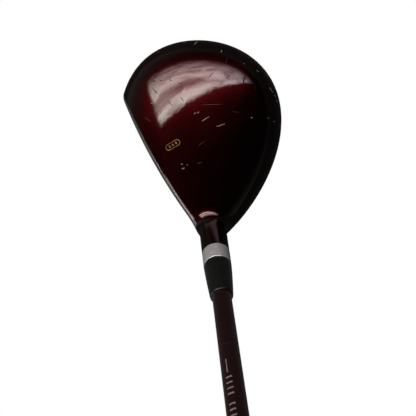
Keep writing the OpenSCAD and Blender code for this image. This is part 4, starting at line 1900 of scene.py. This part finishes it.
@dataclass(frozen=True)
class Viewpoint:
    """The camera, above and a little behind the head."""

    azimuth: float = -173.2735
    elevation: float = 73.8264
    roll: float = -126.2061
    distance: float = 0.5314
    aim: tuple[float, float, float] = (0.0316, -0.0144, 0.035)
    lens: float = 91.6

    def camera(self) -> bpy.types.Object:
        """Makes the camera and sets it as the scene's.

        Returns:
            The camera.
        """
        az, el, roll = (math.radians(a) for a in (self.azimuth, self.elevation, self.roll))
        back = Vector((math.sin(az) * math.cos(el), -math.cos(az) * math.cos(el), math.sin(el)))
        level = Vector((0, 0, 1)).cross(back).normalized()
        rise = back.cross(level)
        right = math.cos(roll) * level + math.sin(roll) * rise
        up = -math.sin(roll) * level + math.cos(roll) * rise
        data = bpy.data.cameras.new("camera")
        data.lens = self.lens
        data.sensor_width = 36.0
        data.clip_start = 0.01
        camera = bpy.data.objects.new("camera", data)
        turn = Matrix((right, up, back)).transposed().to_4x4()
        camera.matrix_world = Matrix.Translation(Vector(self.aim) + self.distance * back) @ turn
        bpy.context.scene.collection.objects.link(camera)
        bpy.context.scene.camera = camera
        return camera


def light_up() -> None:
    """Lights the club as a tall window at the toe's side and a dim room would."""
    h = 1.6
    window = Softbox(
        "window", middle=(-0.99 * h, 1.43 * h, h), size=(1.27 * h, 4.6 * h), radiance=13.0,
        colour="#fff4e8", far_colour="#b4a6ca", fades=(0.9, 0.06, 0.015, 0.9), slant=0.07, uneven=0.65,
        bar=GlazingBar(place=0.8, half=0.1, gloom=0.35, reach=0.3), turn=2.0)
    fill = Softbox("fill", middle=(0.5, -1.5, 1.2), size=(1.0, 1.0), radiance=3.0, aim=(0.1, 0.0, 0.2))
    for lamp in (window, fill):
        lamp.light()


def main() -> None:
    """Builds the club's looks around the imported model."""
    bpy.context.scene.view_settings.view_transform = "Standard"
    Viewpoint().camera()
    stage = Stage()
    stage.floor()
    stage.world()
    light_up()

    paint = CandyPaint("burgundy_candy_paint").material()
    head = Head()
    crown = head.crown(paint)
    head.sole(paint)
    head.sole_plate(WorkedSteel("lathe_faced_steel", working=Working.FACED).material())
    FacePlate(head).build(WorkedSteel("belt_brushed_steel").material())
    wear = CrownWear(head.form)
    primer = Moulded("scuffed_primer", "#8d7d76", "#655853", 0.6).material()
    hazed = Moulded("hazed_lacquer", "#3a2323", "#291617", 0.5).material()
    cut = Moulded("cut_lacquer", "#160406", "#0c0203", 0.8, gloss=0.1).material()
    wear.scratches("pale_scratches", wear.pale, primer)
    wear.scratches("faint_scratches", wear.faint, hazed)
    wear.scratches("dark_scratches", wear.dark, cut)
    wear.chips(crown, primer)
    AimMark(wear).build(Moulded("dull_gold_leaf", "#857640", "#5f5228", 0.45, metal=0.6).material())

    axis = Axis(tuple(head.form.placed(head.form.foot)), SHAFT_UP)
    hosel = Hosel(axis)
    hosel.tube(WorkedSteel("lathe_turned_steel", "#fbfffd", "#dfe5e3", rough=0.36, working=Working.TURNED,
                            metal=0.77).material())
    hosel.ferrule(Moulded("satin_black_plastic", "#080b0a", "#050706", 0.24, gloss=0.5, haze=0.12).material())
    shaft = Shaft(axis)
    shaft.build(
        ShaftLacquer("burgundy_shaft_lacquer").material(),
        Moulded("grey_pad_print", "#857878", "#665a5b", 0.5).material(),
        Moulded("clear_wrap_edge", "#2e1d1f", "#231416", 0.4).material(),
    )
    grip = Grip(axis, shaft)
    rubber = Moulded("black_rubber", "#232325", "#17171a", 0.72, grain=0.3).material()
    grip.sleeve(rubber)
    grip.studs(rubber)
    grip.cap(Moulded("black_rubber_cap", "#1f1f21", "#141416", 0.62, grain=0.3).material())
    redress("back_weight", Moulded("cast_iron", "#6a6b6c", "#3c3d3e", 0.6, metal=1.0).material())
    redress("foam_core", Moulded("poured_foam", "#d8c88a", "#b8a565", 0.9, grain=1.5, depth=0.3).material())
    redress("epoxy_bond", Moulded("cured_epoxy", "#c9b878", "#a08c50", 0.4).material())
    redress("tip_weight", Moulded("turned_brass", "#c9a552", "#8f7030", 0.35, metal=1.0).material())
    redress("grip_tape", Moulded("paper_tape", "#ddd6c4", "#c4bca6", 0.85).material())


if __name__ == "__main__":
    logging.basicConfig(level=logging.INFO, format="%(name)s: %(message)s")
    main()
